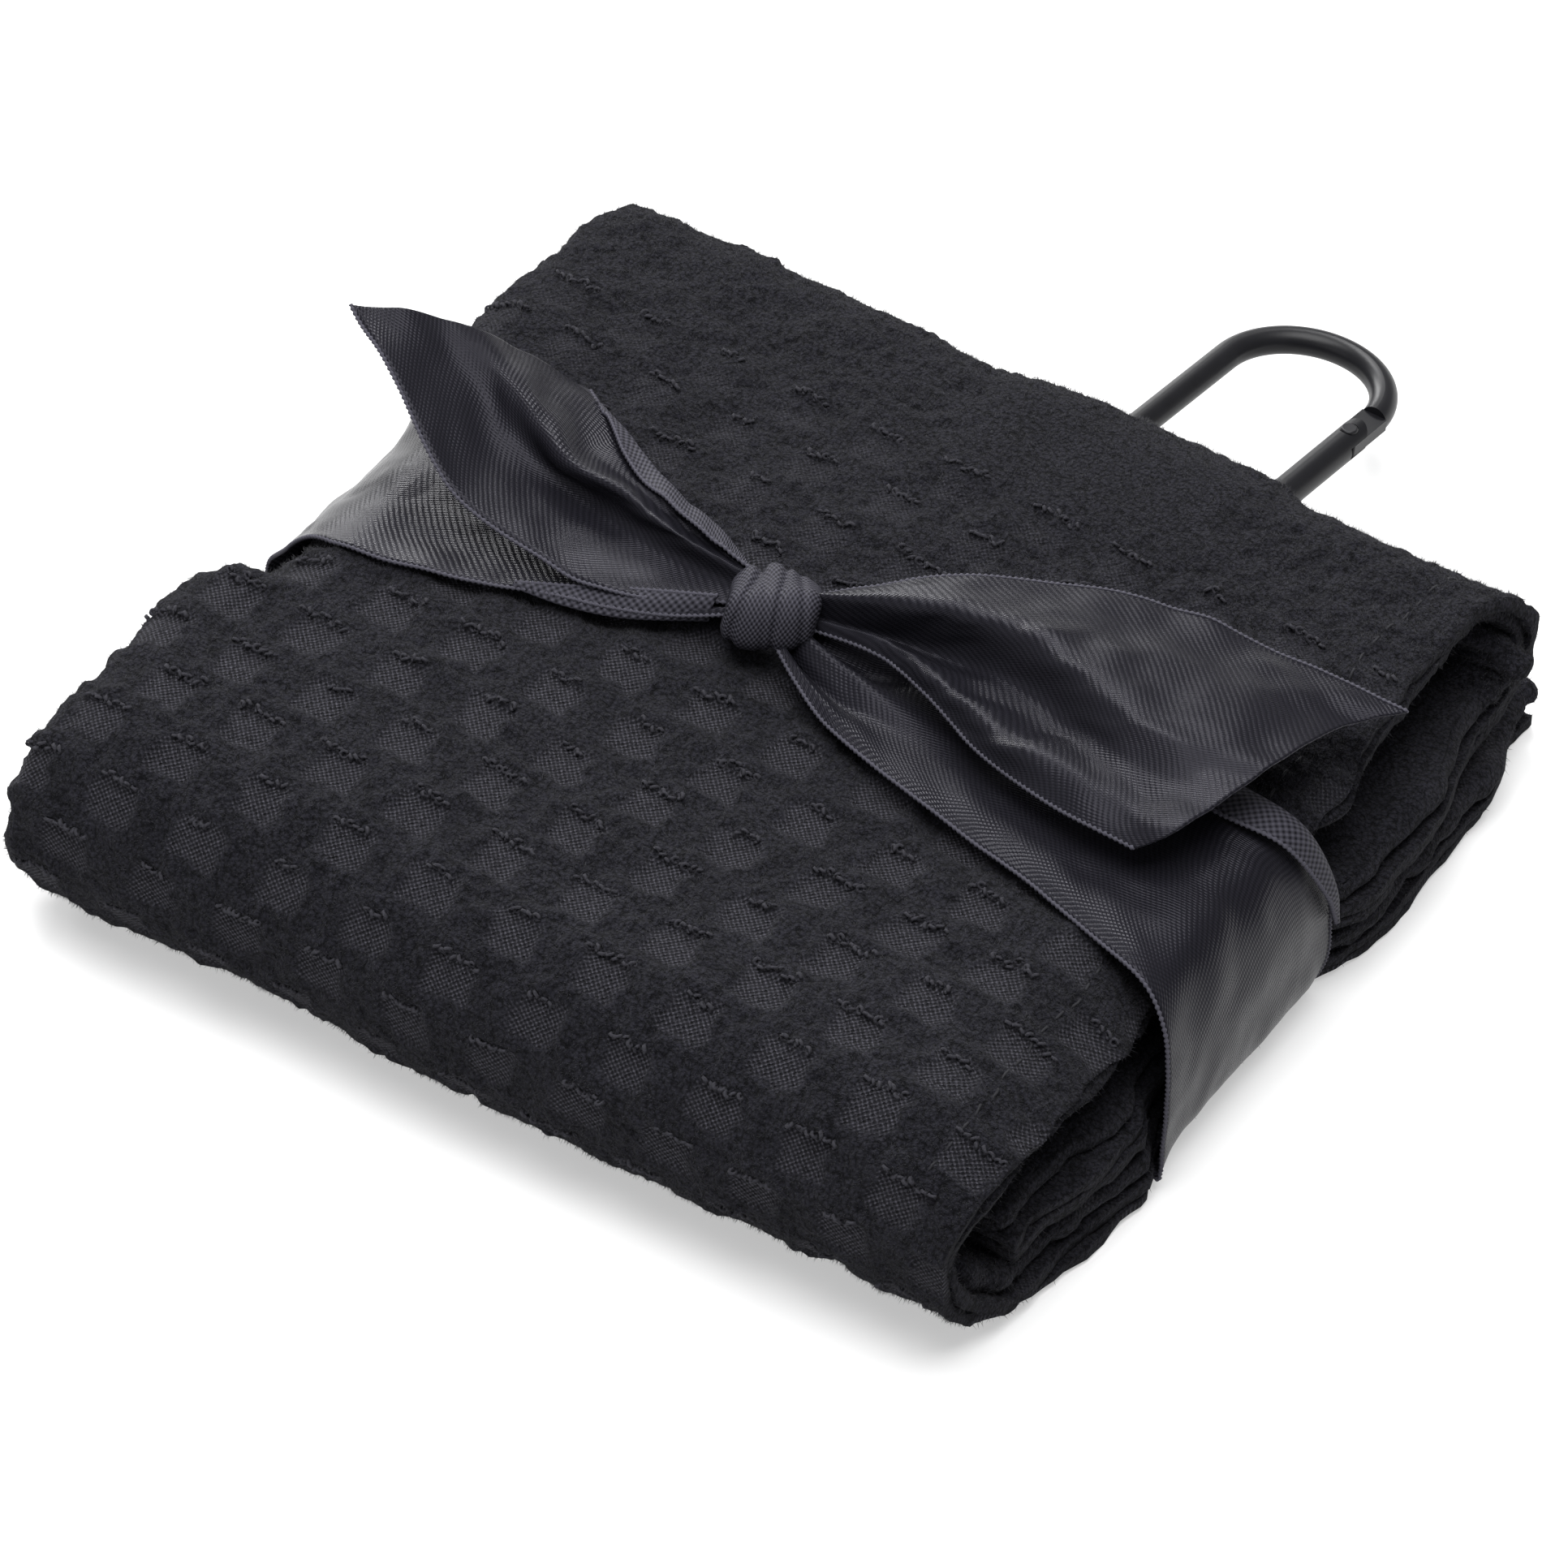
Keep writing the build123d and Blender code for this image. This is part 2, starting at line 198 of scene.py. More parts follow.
def closed_sheet(soup, upper, lower, upper_notes, lower_notes):
    """Two grids of the same size, joined round their rims into one closed shell."""
    rows, cols = upper.shape[:2]
    half = rows * cols
    edge = rim(rows, cols)
    after = np.roll(edge, -1)
    wall = quads(edge, after, after + half, edge + half)
    faces = np.concatenate((grid_faces(rows, cols, flip=True), grid_faces(rows, cols, half), wall))
    points = np.concatenate((upper.reshape(-1, 3), lower.reshape(-1, 3)))
    notes = np.concatenate((upper_notes.reshape(-1, 3), lower_notes.reshape(-1, 3)))
    soup.add(points, faces, notes)


def tube(soup, path, radii, sides, note):
    """A closed tube along a path of points, with a radius at each. sides is even."""
    path = np.asarray(path, float)
    tangent = unit(np.gradient(path, axis=0))
    up = np.where(np.abs(tangent[:, 2:3]) > 0.9, (1.0, 0.0, 0.0), (0.0, 0.0, 1.0))
    side = unit(np.cross(tangent, up))
    other = np.cross(side, tangent)
    angle = np.arange(sides) * 2 * np.pi / sides
    ring = side[:, None] * np.cos(angle)[None, :, None] + other[:, None] * np.sin(angle)[None, :, None]
    points = path[:, None] + ring * np.asarray(radii, float)[:, None, None]
    points[..., 2] = np.maximum(points[..., 2], THREAD_LOW)
    index = np.arange(len(path) * sides).reshape(len(path), sides)
    turned = np.roll(index, -1, axis=1)
    walls = quads(index[:-1], turned[:-1], turned[1:], index[1:])
    fan = [(0, k, k + 1, k + 2) for k in range(1, sides - 2, 2)]
    caps = [index[0][list(f)][::-1] for f in fan] + [index[-1][list(f)] for f in fan]
    soup.add(points, np.concatenate((walls, np.array(caps))), np.tile(note, (len(path) * sides, 1)))


# ---------------- materials

def fill(inputs, **values):
    """Sets sockets by name; an underscore stands for a space."""
    for name, value in values.items():
        inputs[name.replace("_", " ")].default_value = value


class Look:
    """A Principled material with a few nodes, made line by line."""

    def __init__(self, name, colour, roughness, **sockets):
        self.material = bpy.data.materials.new(name)
        self.material.use_nodes = True
        self.tree = self.material.node_tree
        self.shader = self.tree.nodes["Principled BSDF"]
        fill(self.shader.inputs, Base_Color=(*colour, 1.0), Roughness=roughness, **sockets)
        self.height = None

    def node(self, kind, **settings):
        made = self.tree.nodes.new(kind)
        for name, value in settings.items():
            setattr(made, name, value)
        return made

    def link(self, out, into):
        self.tree.links.new(out, into)

    def math(self, operation, first, second=0.0, third=0.0, clamp=False):
        made = self.node("ShaderNodeMath", operation=operation, use_clamp=clamp)
        for socket, value in zip(made.inputs, (first, second, third)):
            if isinstance(value, (int, float)):
                socket.default_value = value
            else:
                self.link(value, socket)
        return made.outputs[0]

    def product(self, first, second, clamp=False):
        return self.math("MULTIPLY", first, second, clamp=clamp)

    def scaled(self, value, gain, offset, clamp=False):
        """value * gain + offset"""
        return self.math("MULTIPLY_ADD", value, gain, offset, clamp)

    def cloth(self):
        """The numbers kept at each vertex: two places on the cloth in millimetres, and a share."""
        split = self.node("ShaderNodeSeparateXYZ")
        kept = self.node("ShaderNodeAttribute", attribute_name="cloth")
        self.link(kept.outputs["Vector"], split.inputs[0])
        return split.outputs

    def texture(self, kind, **settings):
        """A texture over the object's own coordinates, in metres."""
        made = self.node(kind)
        fill(made.inputs, **settings)
        self.link(self.node("ShaderNodeTexCoord").outputs["Object"], made.inputs["Vector"])
        return made.outputs

    def noise(self, scale, detail=2.0, roughness=0.5):
        return self.texture("ShaderNodeTexNoise", Scale=scale, Detail=detail, Roughness=roughness)["Fac"]

    def cells(self, scale):
        """How far each place is from the middle of its tuft, from 0 up to about 0.8."""
        return self.texture("ShaderNodeTexVoronoi", Scale=scale)["Distance"]

    def mix(self, share, low, high):
        """A colour between low and high."""
        made = self.node("ShaderNodeMix", data_type="RGBA")
        self.link(share, made.inputs["Factor"])
        for socket, value in ((made.inputs["A"], low), (made.inputs["B"], high)):
            if isinstance(value, tuple):
                socket.default_value = (*value, 1.0)
            else:
                self.link(value, socket)
        return made.outputs["Result"]

    def bump(self, height, strength, distance):
        made = self.node("ShaderNodeBump")
        fill(made.inputs, Strength=strength, Distance=distance)
        self.link(height, made.inputs["Height"])
        if self.height is not None:
            self.link(self.height, made.inputs["Normal"])
        self.height = made.outputs["Normal"]
        self.link(self.height, self.shader.inputs["Normal"])

    def colour(self, out):
        self.link(out, self.shader.inputs["Base Color"])

    def roughness(self, out):
        self.link(out, self.shader.inputs["Roughness"])


def weave_height(look, first, second, pitch_a, pitch_b):
    """A basket weave: over and under by turns, from 0 to 1, from two lengths in millimetres."""
    turn_a = look.math("SINE", look.product(first, 2 * math.pi / pitch_a))
    turn_b = look.math("SINE", look.product(second, 2 * math.pi / pitch_b))
    return look.scaled(look.product(turn_a, turn_b), 0.5, 0.5)


# The pile's dark end is painted shade between the tufts; the flat squares' dark end is painted shade in the
# weave's hollows, and their light end is painted glint on raised threads.
PILE_DARK, PILE_LIGHT = (0.0034, 0.0034, 0.0046), (0.0218, 0.0215, 0.0288)
FLAT_DARK, FLAT_LIGHT = (0.0090, 0.0088, 0.0115), (0.0970, 0.0950, 0.1150)
# Satin and rib colours run from painted shade between the threads to painted sheen on the raised threads.
SATIN_DARK, SATIN_LIGHT = (0.0048, 0.0047, 0.0064), (0.0125, 0.0121, 0.0162)
RIB_DARK, RIB_LIGHT = (0.0035, 0.0034, 0.0048), (0.0540, 0.0525, 0.0660)
# Grain of the pile, in cells to the metre: its tufts, its fibres and the patches that lean one way, which
# are painted lighter and darker as sheen.
TUFTS, FIBRES, PATCHES = 1600.0, 3300.0, 230.0
# Pitches of the weaves, in millimetres.
GROUND_PITCH, RIB_PITCH, SATIN_PITCH = 0.80, 1.15, (1.00, 0.64)


def towel_look():
    """Cut pile, with tufts and patches of leaning fibre, and a plain basket weave in the flat squares. The
    pile's colour holds painted shade between the tufts and painted sheen in the leaning patches; the
    squares' colour holds painted shade in the weave's hollows and painted glints on its raised threads.
    """
    look = Look("terry_velour", PILE_LIGHT, 0.95, Specular_IOR_Level=0.08, Sheen_Weight=0.02,
                Sheen_Roughness=0.5)
    along, across, flat = look.cloth()
    tuft = look.cells(TUFTS)
    fibre = look.noise(FIBRES, 2.0, 0.7)
    sheen_patch = look.noise(PATCHES, 2.0)
    height = look.scaled(tuft, -0.62, look.math("ADD", fibre, 0.14))
    # darker towards the edges of each tuft: painted shade between the tufts
    ramp = look.product(look.math("SUBTRACT", height, 0.12), 2.2, clamp=True)
    # lighter and darker patches: painted sheen of the leaning pile, on top of the painted shade between
    # tufts
    tuft_shade_and_sheen = look.product(ramp, look.scaled(sheen_patch, 0.9, 0.45), clamp=True)
    weave = weave_height(look, along, across, GROUND_PITCH, GROUND_PITCH)
    # sparse bright spots on the raised threads: painted glints
    painted_glint = look.scaled(fibre, 3.2, -0.9)
    # raised threads of the weave lighter and its hollows darker: painted shade, with the painted glints
    thread = look.product(look.product(weave, weave), painted_glint, clamp=True)
    pile_colour = look.mix(tuft_shade_and_sheen, PILE_DARK, PILE_LIGHT)
    flat_colour = look.mix(thread, FLAT_DARK, FLAT_LIGHT)
    look.colour(look.mix(flat, pile_colour, flat_colour))
    look.bump(look.product(weave, flat), 1.0, 0.00028)
    look.bump(height, 1.0, 0.00066)
    return look.material


def loop_look():
    """Twisted yarn."""
    look = Look("uncut_loop", (0.022, 0.022, 0.026), 0.8, Specular_IOR_Level=0.12, Sheen_Weight=0.02)
    twist = look.noise(4200.0, 2.0)
    look.colour(look.mix(twist, (0.007, 0.007, 0.009), (0.046, 0.045, 0.055)))
    look.bump(twist, 0.6, 0.0001)
    return look.material


def fibre_look():
    """Single loose fibres, some lighter than others."""
    look = Look("loose_fibre", (0.020, 0.020, 0.024), 0.7, Specular_IOR_Level=0.2, Sheen_Weight=0.04)
    look.colour(look.mix(look.noise(300.0, 1.0), (0.010, 0.010, 0.012), (0.036, 0.036, 0.042)))
    return look.material


def ribbon_look():
    """Satin on one side and a matt rib on the other: the third number is 0 on the satin. Both weaves are
    coloured lighter on their raised threads and darker between them: painted sheen and painted shade.
    """
    look = Look("satin_ribbon", (0.018, 0.018, 0.022), 0.36, Specular_IOR_Level=0.10, Anisotropic=0.35,
                Specular_Tint=(0.88, 0.86, 1.0, 1.0))
    along, across, reverse = look.cloth()
    unsteady = look.scaled(look.noise(700.0, 1.0), 0.3, along)
    lean = look.scaled(across, 0.85, unsteady)
    satin = weave_height(look, lean, across, *SATIN_PITCH)
    rib = weave_height(look, along, across, RIB_PITCH, RIB_PITCH)
    cloud = look.noise(150.0, 3.0)
    low_satin = look.product(satin, 0.45)
    relief = look.scaled(look.math("SUBTRACT", rib, low_satin), reverse, low_satin)
    # raised floats and rib crossings painted lighter, the gaps between painted darker: painted sheen and
    # painted shade
    satin_colour = look.mix(satin, SATIN_DARK, SATIN_LIGHT)
    rib_colour = look.mix(rib, RIB_DARK, RIB_LIGHT)
    look.colour(look.mix(reverse, satin_colour, rib_colour))
    look.roughness(look.scaled(cloud, 0.16, look.scaled(reverse, 0.30, 0.20)))
    look.bump(relief, 0.9, 0.00014)
    return look.material


def metal_look(name, colour, roughness, grain, metallic=0.0):
    """A finish with a fine grain, slightly worn from place to place."""
    look = Look(name, colour, roughness, Specular_IOR_Level=0.20, Metallic=metallic)
    fine = look.noise(grain, 3.0, 0.6)
    wear = look.noise(260.0, 4.0)
    dark = tuple(0.75 * c for c in colour)
    light = tuple(1.35 * c for c in colour)
    look.colour(look.mix(wear, dark, light))
    look.roughness(look.scaled(fine, 0.16, roughness - 0.08))
    look.bump(fine, 0.25, 0.00003)
    return look.material


def floor_look():
    """A pale floor with a faint glow of its own, which keeps the shadow on it faint."""
    look = Look("pale_floor", (0.53, 0.53, 0.53), 0.9, Specular_IOR_Level=0.1,
                Emission_Color=(1, 1, 1, 1), Emission_Strength=0.42)
    look.colour(look.mix(look.noise(4.0), (0.525, 0.525, 0.525), (0.54, 0.54, 0.54)))
    return look.material


# ---------------- the towel's folds

def y_fold():
    """The roll seen from the side: inner line, outward direction, run and panel of each row."""
    rows = []

    def straight(y0, y1, z, out, step, panel):
        for y in np.linspace(y0, y1, max(2, round(abs(y1 - y0) / step)), endpoint=False):
            rows.append((y, z, 0.0, out, abs(y - y0) / abs(y1 - y0), panel))

    def bend(centre, z, inner, outer, side, step, panel):
        steps = round(math.pi * outer / step)
        for k in range(steps):
            turn = math.pi * k / steps
            out = (side * math.sin(turn), side * math.cos(turn))
            rows.append((centre + inner * out[0], z + inner * out[1], *out, k / steps, panel))

    straight(BOTTOM_REAR_Y, BOTTOM_REAR_Y - 10, PANEL, -1.0, EDGE_STEP, 0)
    straight(BOTTOM_REAR_Y - 10, FRONT_CENTRE_Y, PANEL, -1.0, 2.0, 0)
    bend(FRONT_CENTRE_Y, TOP_Z / 2, FRONT_R - PANEL, FRONT_R, -1, FINE_STEP, 1)
    straight(FRONT_CENTRE_Y, BACK_CENTRE_Y, TOP_Z - PANEL, 1.0, FINE_STEP, 2)
    bend(BACK_CENTRE_Y, TOP_Z - BACK_OUTER_R, BACK_OUTER_R - PANEL, BACK_OUTER_R, 1, FINE_STEP, 3)
    straight(BACK_CENTRE_Y, MIDDLE_FRONT_Y + 8, TOP_Z - 2 * BACK_OUTER_R + PANEL, -1.0, 2.0, 4)
    straight(MIDDLE_FRONT_Y + 8, MIDDLE_FRONT_Y, TOP_Z - 2 * BACK_OUTER_R + PANEL, -1.0, EDGE_STEP, 4)
    return np.array(rows)


def x_fold():
    """The four layers seen from the front: place along X, height above the inner line, quarter."""
    cols = []
    left = LEFT_X + 2 * LAYER
    right = RIGHT_X - LAYER

    def run(x0, x1, level, step, quarter):
        for x in np.arange(x0, x1, math.copysign(step, x1 - x0)):
            cols.append((x, level * LAYER, quarter))

    def crease(centre, middle, radius, side, step, quarter):
        steps = max(8, round(math.pi * radius / step))
        for k in range(steps):
            turn = math.pi * k / steps
            rise = math.cos(turn) if quarter == 0.5 else -math.cos(turn)
            cols.append((centre + side * radius * math.sin(turn), middle + radius * rise, quarter))

    run(RIGHT_X, left, 3.5, FINE_STEP, 0)
    crease(left, 2 * LAYER, 1.5 * LAYER, -1, FINE_STEP, 0.5)
    run(left, right - 30, 0.5, COARSE_STEP, 1)
    run(right - 30, right, 0.5, EDGE_STEP, 1)
    crease(right, LAYER, 0.5 * LAYER, 1, 0.4, 1.5)
    run(right, right - 30, 1.5, EDGE_STEP, 2)
    run(right - 30, left, 1.5, COARSE_STEP, 2)
    crease(left, 2 * LAYER, 0.5 * LAYER, -1, 0.4, 2.5)
    run(left, RIGHT_X - 10, 2.5, COARSE_STEP, 3)
    run(RIGHT_X - 10, RIGHT_X + 0.1, 2.5, EDGE_STEP, 3)
    return np.array(cols)


def right_ends(rows):
    """How far each row's hems and its inner crease reach to the right."""
    y, share, panel = rows[:, 0], rows[:, 4], rows[:, 5]
    front, middle = smooth(-y, 30, 56), smooth(-y, -11, 30)
    # the layers that lie back from the rear right corner
    bottom_rear, inner_rear = 5.0 * smooth(y, 54, 72), 4.5 * smooth(y, 38, 57)
    back_turn = 4.5 * smooth(share, 0.3, 1.0)
    hems = np.choose(panel.astype(int), (
        79.3 - 3.3 * front - bottom_rear,
        76.0 - 1.7 * np.sin(np.pi * share),
        75.6 - 1.8 * plateau(y, 32, 46, 12) - 2.2 * smooth(y, 44, 58),
        73.4 + 7.6 * share - back_turn,
        80.8 - 1.6 * middle - 3.6 * front - inner_rear,
    ))
    crease = np.choose(panel.astype(int), (
        80.2 - 1.2 * middle - 3.2 * front - bottom_rear,
        75.8 - 8.0 * smooth(share, 0.1, 0.7),
        67.0 - 3.0 * smooth(y, -53, -22),
        64.0 + 16.4 * smooth(share, 0.1, 0.55) - back_turn,
        80.4 - 3.0 * middle - 3.0 * front - inner_rear,
    ))
    tied = 2.6 * plateau(y, -27, 12, 6) * (panel != 2)
    return hems - tied, crease - tied


def squares(x, y):
    """How flat-woven the cloth is, 0 to 1, at a place on its face."""
    dx, dy = x - CHECK_ORIGIN[0], y - CHECK_ORIGIN[1]
    det = CHECK_A[0] * CHECK_B[1] - CHECK_B[0] * CHECK_A[1]
    i = (CHECK_B[1] * dx - CHECK_B[0] * dy) / det
    j = (-CHECK_A[1] * dx + CHECK_A[0] * dy) / det
    i, j = i - np.round(i), j - np.round(j)
    across = np.abs(i * CHECK_A[0] + j * CHECK_B[0]) + 0.8 * noise(x, y, 1.9, 31)
    deep = np.abs(i * CHECK_A[1] + j * CHECK_B[1]) + 0.7 * noise(x, y, 2.1, 32)
    inside = (1 - smooth(across, SQUARE_HALF[0] - 0.9, SQUARE_HALF[0] + 0.7))
    inside = inside * (1 - smooth(deep, SQUARE_HALF[1] - 0.9, SQUARE_HALF[1] + 0.7))
    fade = 1 - 0.65 * smooth(y, -5, 30)
    return inside * fade * (1 - smooth(y, CHECK_END_Y - 6, CHECK_END_Y))


def tied_share(y):
    """How far the ribbon pulls the bundle in, 0 to 1."""
    return plateau(y, -24, 16, 7)


def under_ribbon(x, y, margin):
    """1 under the ribbon's turn, 0 further than margin from it."""
    middle = np.interp(x, (-75, 0, 75), (4, 0, -5))
    half = np.interp(np.abs(x), (6, 40, 75), (6, 17, 19))
    return 1 - smooth(np.abs(y - middle), half - 1, half + margin)


def quarter_circle(d):
    """A rounded step: 0 at d = 0, rising steeply and then levelling out at 1 from d = 1."""
    return np.sqrt(np.maximum(1 - (1 - np.clip(d, 0.0, 1.0)) ** 2, 0))


LEFT_END = -77.5
# Heights before and after the roll lifts over the clip and its eyelet, from the floor up.
TENT_FROM, TENT_TO = (0, 7.4, 10.5, 18.9, 25.6, 34.0), (0, 5.4, 24.2, 28.6, 29.2, 34.6)
# How far the top hems droop at the right end, from front to rear.
DROOP_Y, DROOP = (-72, -53, -29, 0, 10, 22, 29, 37, 53, 63, 73), (2, 6, 9, 6.5, 5, 4, 2, 1, 0, -1, -1.5)


def lift_over_clip(x, y, z):
    """Room for the clip, between the bottom panel and the roll above it."""
    tent = plateau(x, 2.6, 31.6, 13.0) * smooth(y, 33, 50)
    return z + (np.interp(z, TENT_FROM, TENT_TO) - z) * tent


def round_left_end(x, z, tied):
    """The left end, rounded over by the tight ribbon."""
    reach, end_top = 13.0 + 9.0 * tied, 23.0 - 11.0 * tied
    over, under = quarter_circle((x - LEFT_END) / reach), quarter_circle((x - LEFT_END) / 9.0)
    high = end_top + (TOP_Z - end_top) * over ** (1 + 1.9 * tied)
    low = 5.0 * (1 - under)
    return low + z / TOP_Z * (high - low)


def droop_right_end(x, y, z):
    """The top sheet's hems, sagging over the right end."""
    d = np.clip((x - 60.0) / 17.0, 0, 1.2)
    return z - np.interp(y, DROOP_Y, DROOP) * d * d * np.clip((z - 14) / 20, 0, 1)


def settle(points):
    """Takes the neatly folded bundle to the soft one: rounded ends, sagging hems, the ribbon's dent."""
    x, y, z = points[..., 0], points[..., 1], points[..., 2]
    tied = tied_share(y)
    z = lift_over_clip(x, y, z)
    z = round_left_end(x, z, tied)
    z = droop_right_end(x, y, z)
    # soft unevenness
    z = z + 0.7 * noise(x, y, 33, 1) * z / TOP_Z + 0.35 * noise(x, y, 12, 2) * z / TOP_Z
    y = y + 0.8 * noise(x, z, 30, 3) + 0.028 * x * smooth(-y, 0, 60)
    x = x + 0.6 * noise(y, z, 24, 4) * smooth(np.abs(x), 40, 75)
    # the ribbon's footprint
    under_band = under_ribbon(x, y, 3.0)
    z = z - 0.9 * under_band * smooth(z, 26, 31)
    z = z + (0.4 + 0.7 * under_band) * (1 - z / TOP_Z)
    x = x - 0.9 * tied * np.sign(x) * smooth(np.abs(x), 66, 76)
    return vectors(x, y, z)


def face_places(rows, cols):
    """Two places for each point, along X and along Y, on a face that runs on round the creases."""
    y, share, panel = rows[:, 0], rows[:, 4], rows[:, 5].astype(int)
    face_y = np.choose(panel, (
        FRONT_CENTRE_Y - math.pi * FRONT_R + FRONT_CENTRE_Y - y,
        FRONT_CENTRE_Y - (1 - share) * math.pi * FRONT_R,
        y,
        BACK_CENTRE_Y + share * math.pi * BACK_OUTER_R,
        BACK_CENTRE_Y + math.pi * BACK_OUTER_R + BACK_CENTRE_Y - y,
    ))
    face_x = RIGHT_X - np.cumsum(np.r_[0, np.hypot(np.diff(cols[:, 0]), np.diff(cols[:, 1]))])
    return np.tile(face_x, (len(rows), 1)), np.tile(face_y[:, None], (1, len(cols)))


# Unevenness of the cloth's two sides: how high, the size of its cells, both in millimetres, and a seed.
LUMPS = ((0.40, 5.2, 11), (0.26, 2.6, 12))
PILE = ((0.26, 1.3, 13), (0.24, 0.85, 14))
INNER_PILE = ((0.5, 4.0, 15), (0.8, 1.3, 16))


def uneven(x, y, layers):
    """Layers of noise, one on another."""
    return sum(amount * noise(x, y, cell, seed) for amount, cell, seed in layers)


def fold_lines(rows, cols):
    """The middle of the neatly folded cloth, and which way is outwards, for each point."""
    hems, crease = right_ends(rows)
    x, level, quarter = (np.tile(cols[:, k], (len(rows), 1)) for k in range(3))
    reach = np.where((quarter >= 1) & (quarter <= 2), crease[:, None], hems[:, None])
    steps = np.diff(rows[:, :2] + level.mean() * rows[:, 2:4], axis=0)
    run = np.cumsum(np.r_[0, np.hypot(*steps.T)])[:, None] + 0 * x
    ragged = 0.9 * noise(run, quarter * 40, 11, 5) + 0.35 * noise(run, quarter * 9, 3, 6)
    x = x + (reach - RIGHT_X + ragged) * smooth(x, 12, 75)
    x = x + 0.5 * noise(run, quarter * 9, 7, 7) * smooth(-x, 60, 75)
    y = rows[:, 0:1] + level * rows[:, 2:3]
    z = rows[:, 1:2] + level * rows[:, 3:4]
    out = unit(vectors(0 * x, 0 * x + rows[:, 2:3], 0 * x + rows[:, 3:4]))
    return vectors(x, y, z), out, quarter


def fold_towel():
    """The cloth's two sides, their notes and the outward normal, on one grid of rows and columns."""
    rows, cols = y_fold(), x_fold()
    neat, out, quarter = fold_lines(rows, cols)
    middle = settle(neat)
    # the cloth is thinner where settling presses its layers together
    squeeze = np.linalg.norm(settle(neat + 0.4 * out) - settle(neat - 0.4 * out), axis=-1) / 0.8
    half = HALF_CLOTH * np.clip(squeeze, 0.35, 1.05)
    normal = grid_normals(middle)
    sample = len(rows) // 2, 20
    if (normal[sample] * out[sample]).sum() < 0:
        normal = -normal
    face_x, face_y = face_places(rows, cols)
    flat = squares(face_x, face_y)
    flat = np.where(quarter < 1, flat, flat * 0.3)
    ridge = np.maximum(0, squares(face_x, face_y - 2.4) - flat) * 0.35
    lumps, pile = uneven(face_x, face_y, LUMPS), uneven(face_x, face_y, PILE)
    rise = lumps * (1 - 0.5 * flat) + pile * (1 - 0.8 * flat) - SQUARE_DEPTH * flat + ridge
    inner_rise = 0.5 * uneven(face_x, face_y, INNER_PILE)
    shown = smooth(half / HALF_CLOTH, 0.5, 0.9)
    upper = middle + normal * (half + rise * shown)[..., None]
    lower = middle - normal * (half + inner_rise * shown)[..., None]
    for side in (upper, lower):
        side[..., 2] = np.maximum(side[..., 2], CLOTH_LOW)
    upper_note = vectors(face_x, face_y, flat)
    lower_note = vectors(face_x, face_y, 0 * flat)
    return rows, cols, upper, lower, upper_note, lower_note, normal


def build_towel(material):
    rows, cols, upper, lower, upper_note, lower_note, normal = fold_towel()
    soup = Soup()
    closed_sheet(soup, upper, lower, upper_note, lower_note)
    piece = soup.mesh("towel_cloth_folded", material, "bundle", "towel")
    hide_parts("towel_cloth")
    outer_rows = (rows[:, 5] >= 1) & (rows[:, 5] <= 3)
    outer_cols = cols[:, 2] < 1
    pick = np.ix_(outer_rows, outer_cols)
    ledge = lower[np.ix_(rows[:, 5] == 0, cols[:, 2] == 1)].reshape(-1, 3)
    everywhere = np.concatenate((upper.reshape(-1, 3), lower.reshape(-1, 3)))
    return piece, upper[pick], normal[pick], upper_note[pick], ledge, everywhere


class Face:
    """The towel's outer face, looked up by the place on the cloth."""

    def __init__(self, points, normals, notes):
        self.points, self.normals = points, normals
        self.x, self.y = notes[0, :, 0], notes[:, 0, 1]

    def at(self, x, y):
        """(points, normals) nearest to places on the cloth, evened out between grid points."""
        col = np.interp(-np.asarray(x, float), -self.x, np.arange(len(self.x)))
        row = np.interp(y, self.y, np.arange(len(self.y)))
        c0, r0 = np.floor(col).astype(int), np.floor(row).astype(int)
        c0, r0 = np.clip(c0, 0, len(self.x) - 2), np.clip(r0, 0, len(self.y) - 2)
        fc, fr = (col - c0)[..., None], (row - r0)[..., None]
        point, normal = (between(grid, r0, c0, fr, fc) for grid in (self.points, self.normals))
        return point, unit(normal)


class Reach:
    """How far the cloth comes along one axis, in cells over the other two; -1 looks the other way."""
    CELL, HALF = 1.5, 60

    def __init__(self, points, across, axis, sign):
        self.across = across
        cells = np.round(points[:, across] / self.CELL).astype(int) + self.HALF
        inside = ((cells >= 0) & (cells < 2 * self.HALF)).all(axis=1)
        grid = np.full((2 * self.HALF, 2 * self.HALF), -200.0)
        np.maximum.at(grid, tuple(cells[inside].T), sign * points[inside, axis])
        grid = np.max(neighbours(grid), axis=0)
        self.grid = np.mean(neighbours(grid), axis=0)

    def at(self, points):
        place = points[..., self.across] / self.CELL + self.HALF
        low = np.clip(np.floor(place).astype(int), 0, 2 * self.HALF - 2)
        share = np.clip(place - low, 0, 1)
        i, j, fi, fj = low[..., 0], low[..., 1], share[..., 0], share[..., 1]
        return between(self.grid, i, j, fi, fj)


# The uncut loops of one square, in millimetres: how many, their pitch, radius and thread.
LOOP_COUNT, LOOP_PITCH, LOOP_RADIUS, LOOP_THREAD = (4, 9), 0.92, (0.36, 0.50), (0.23, 0.30)


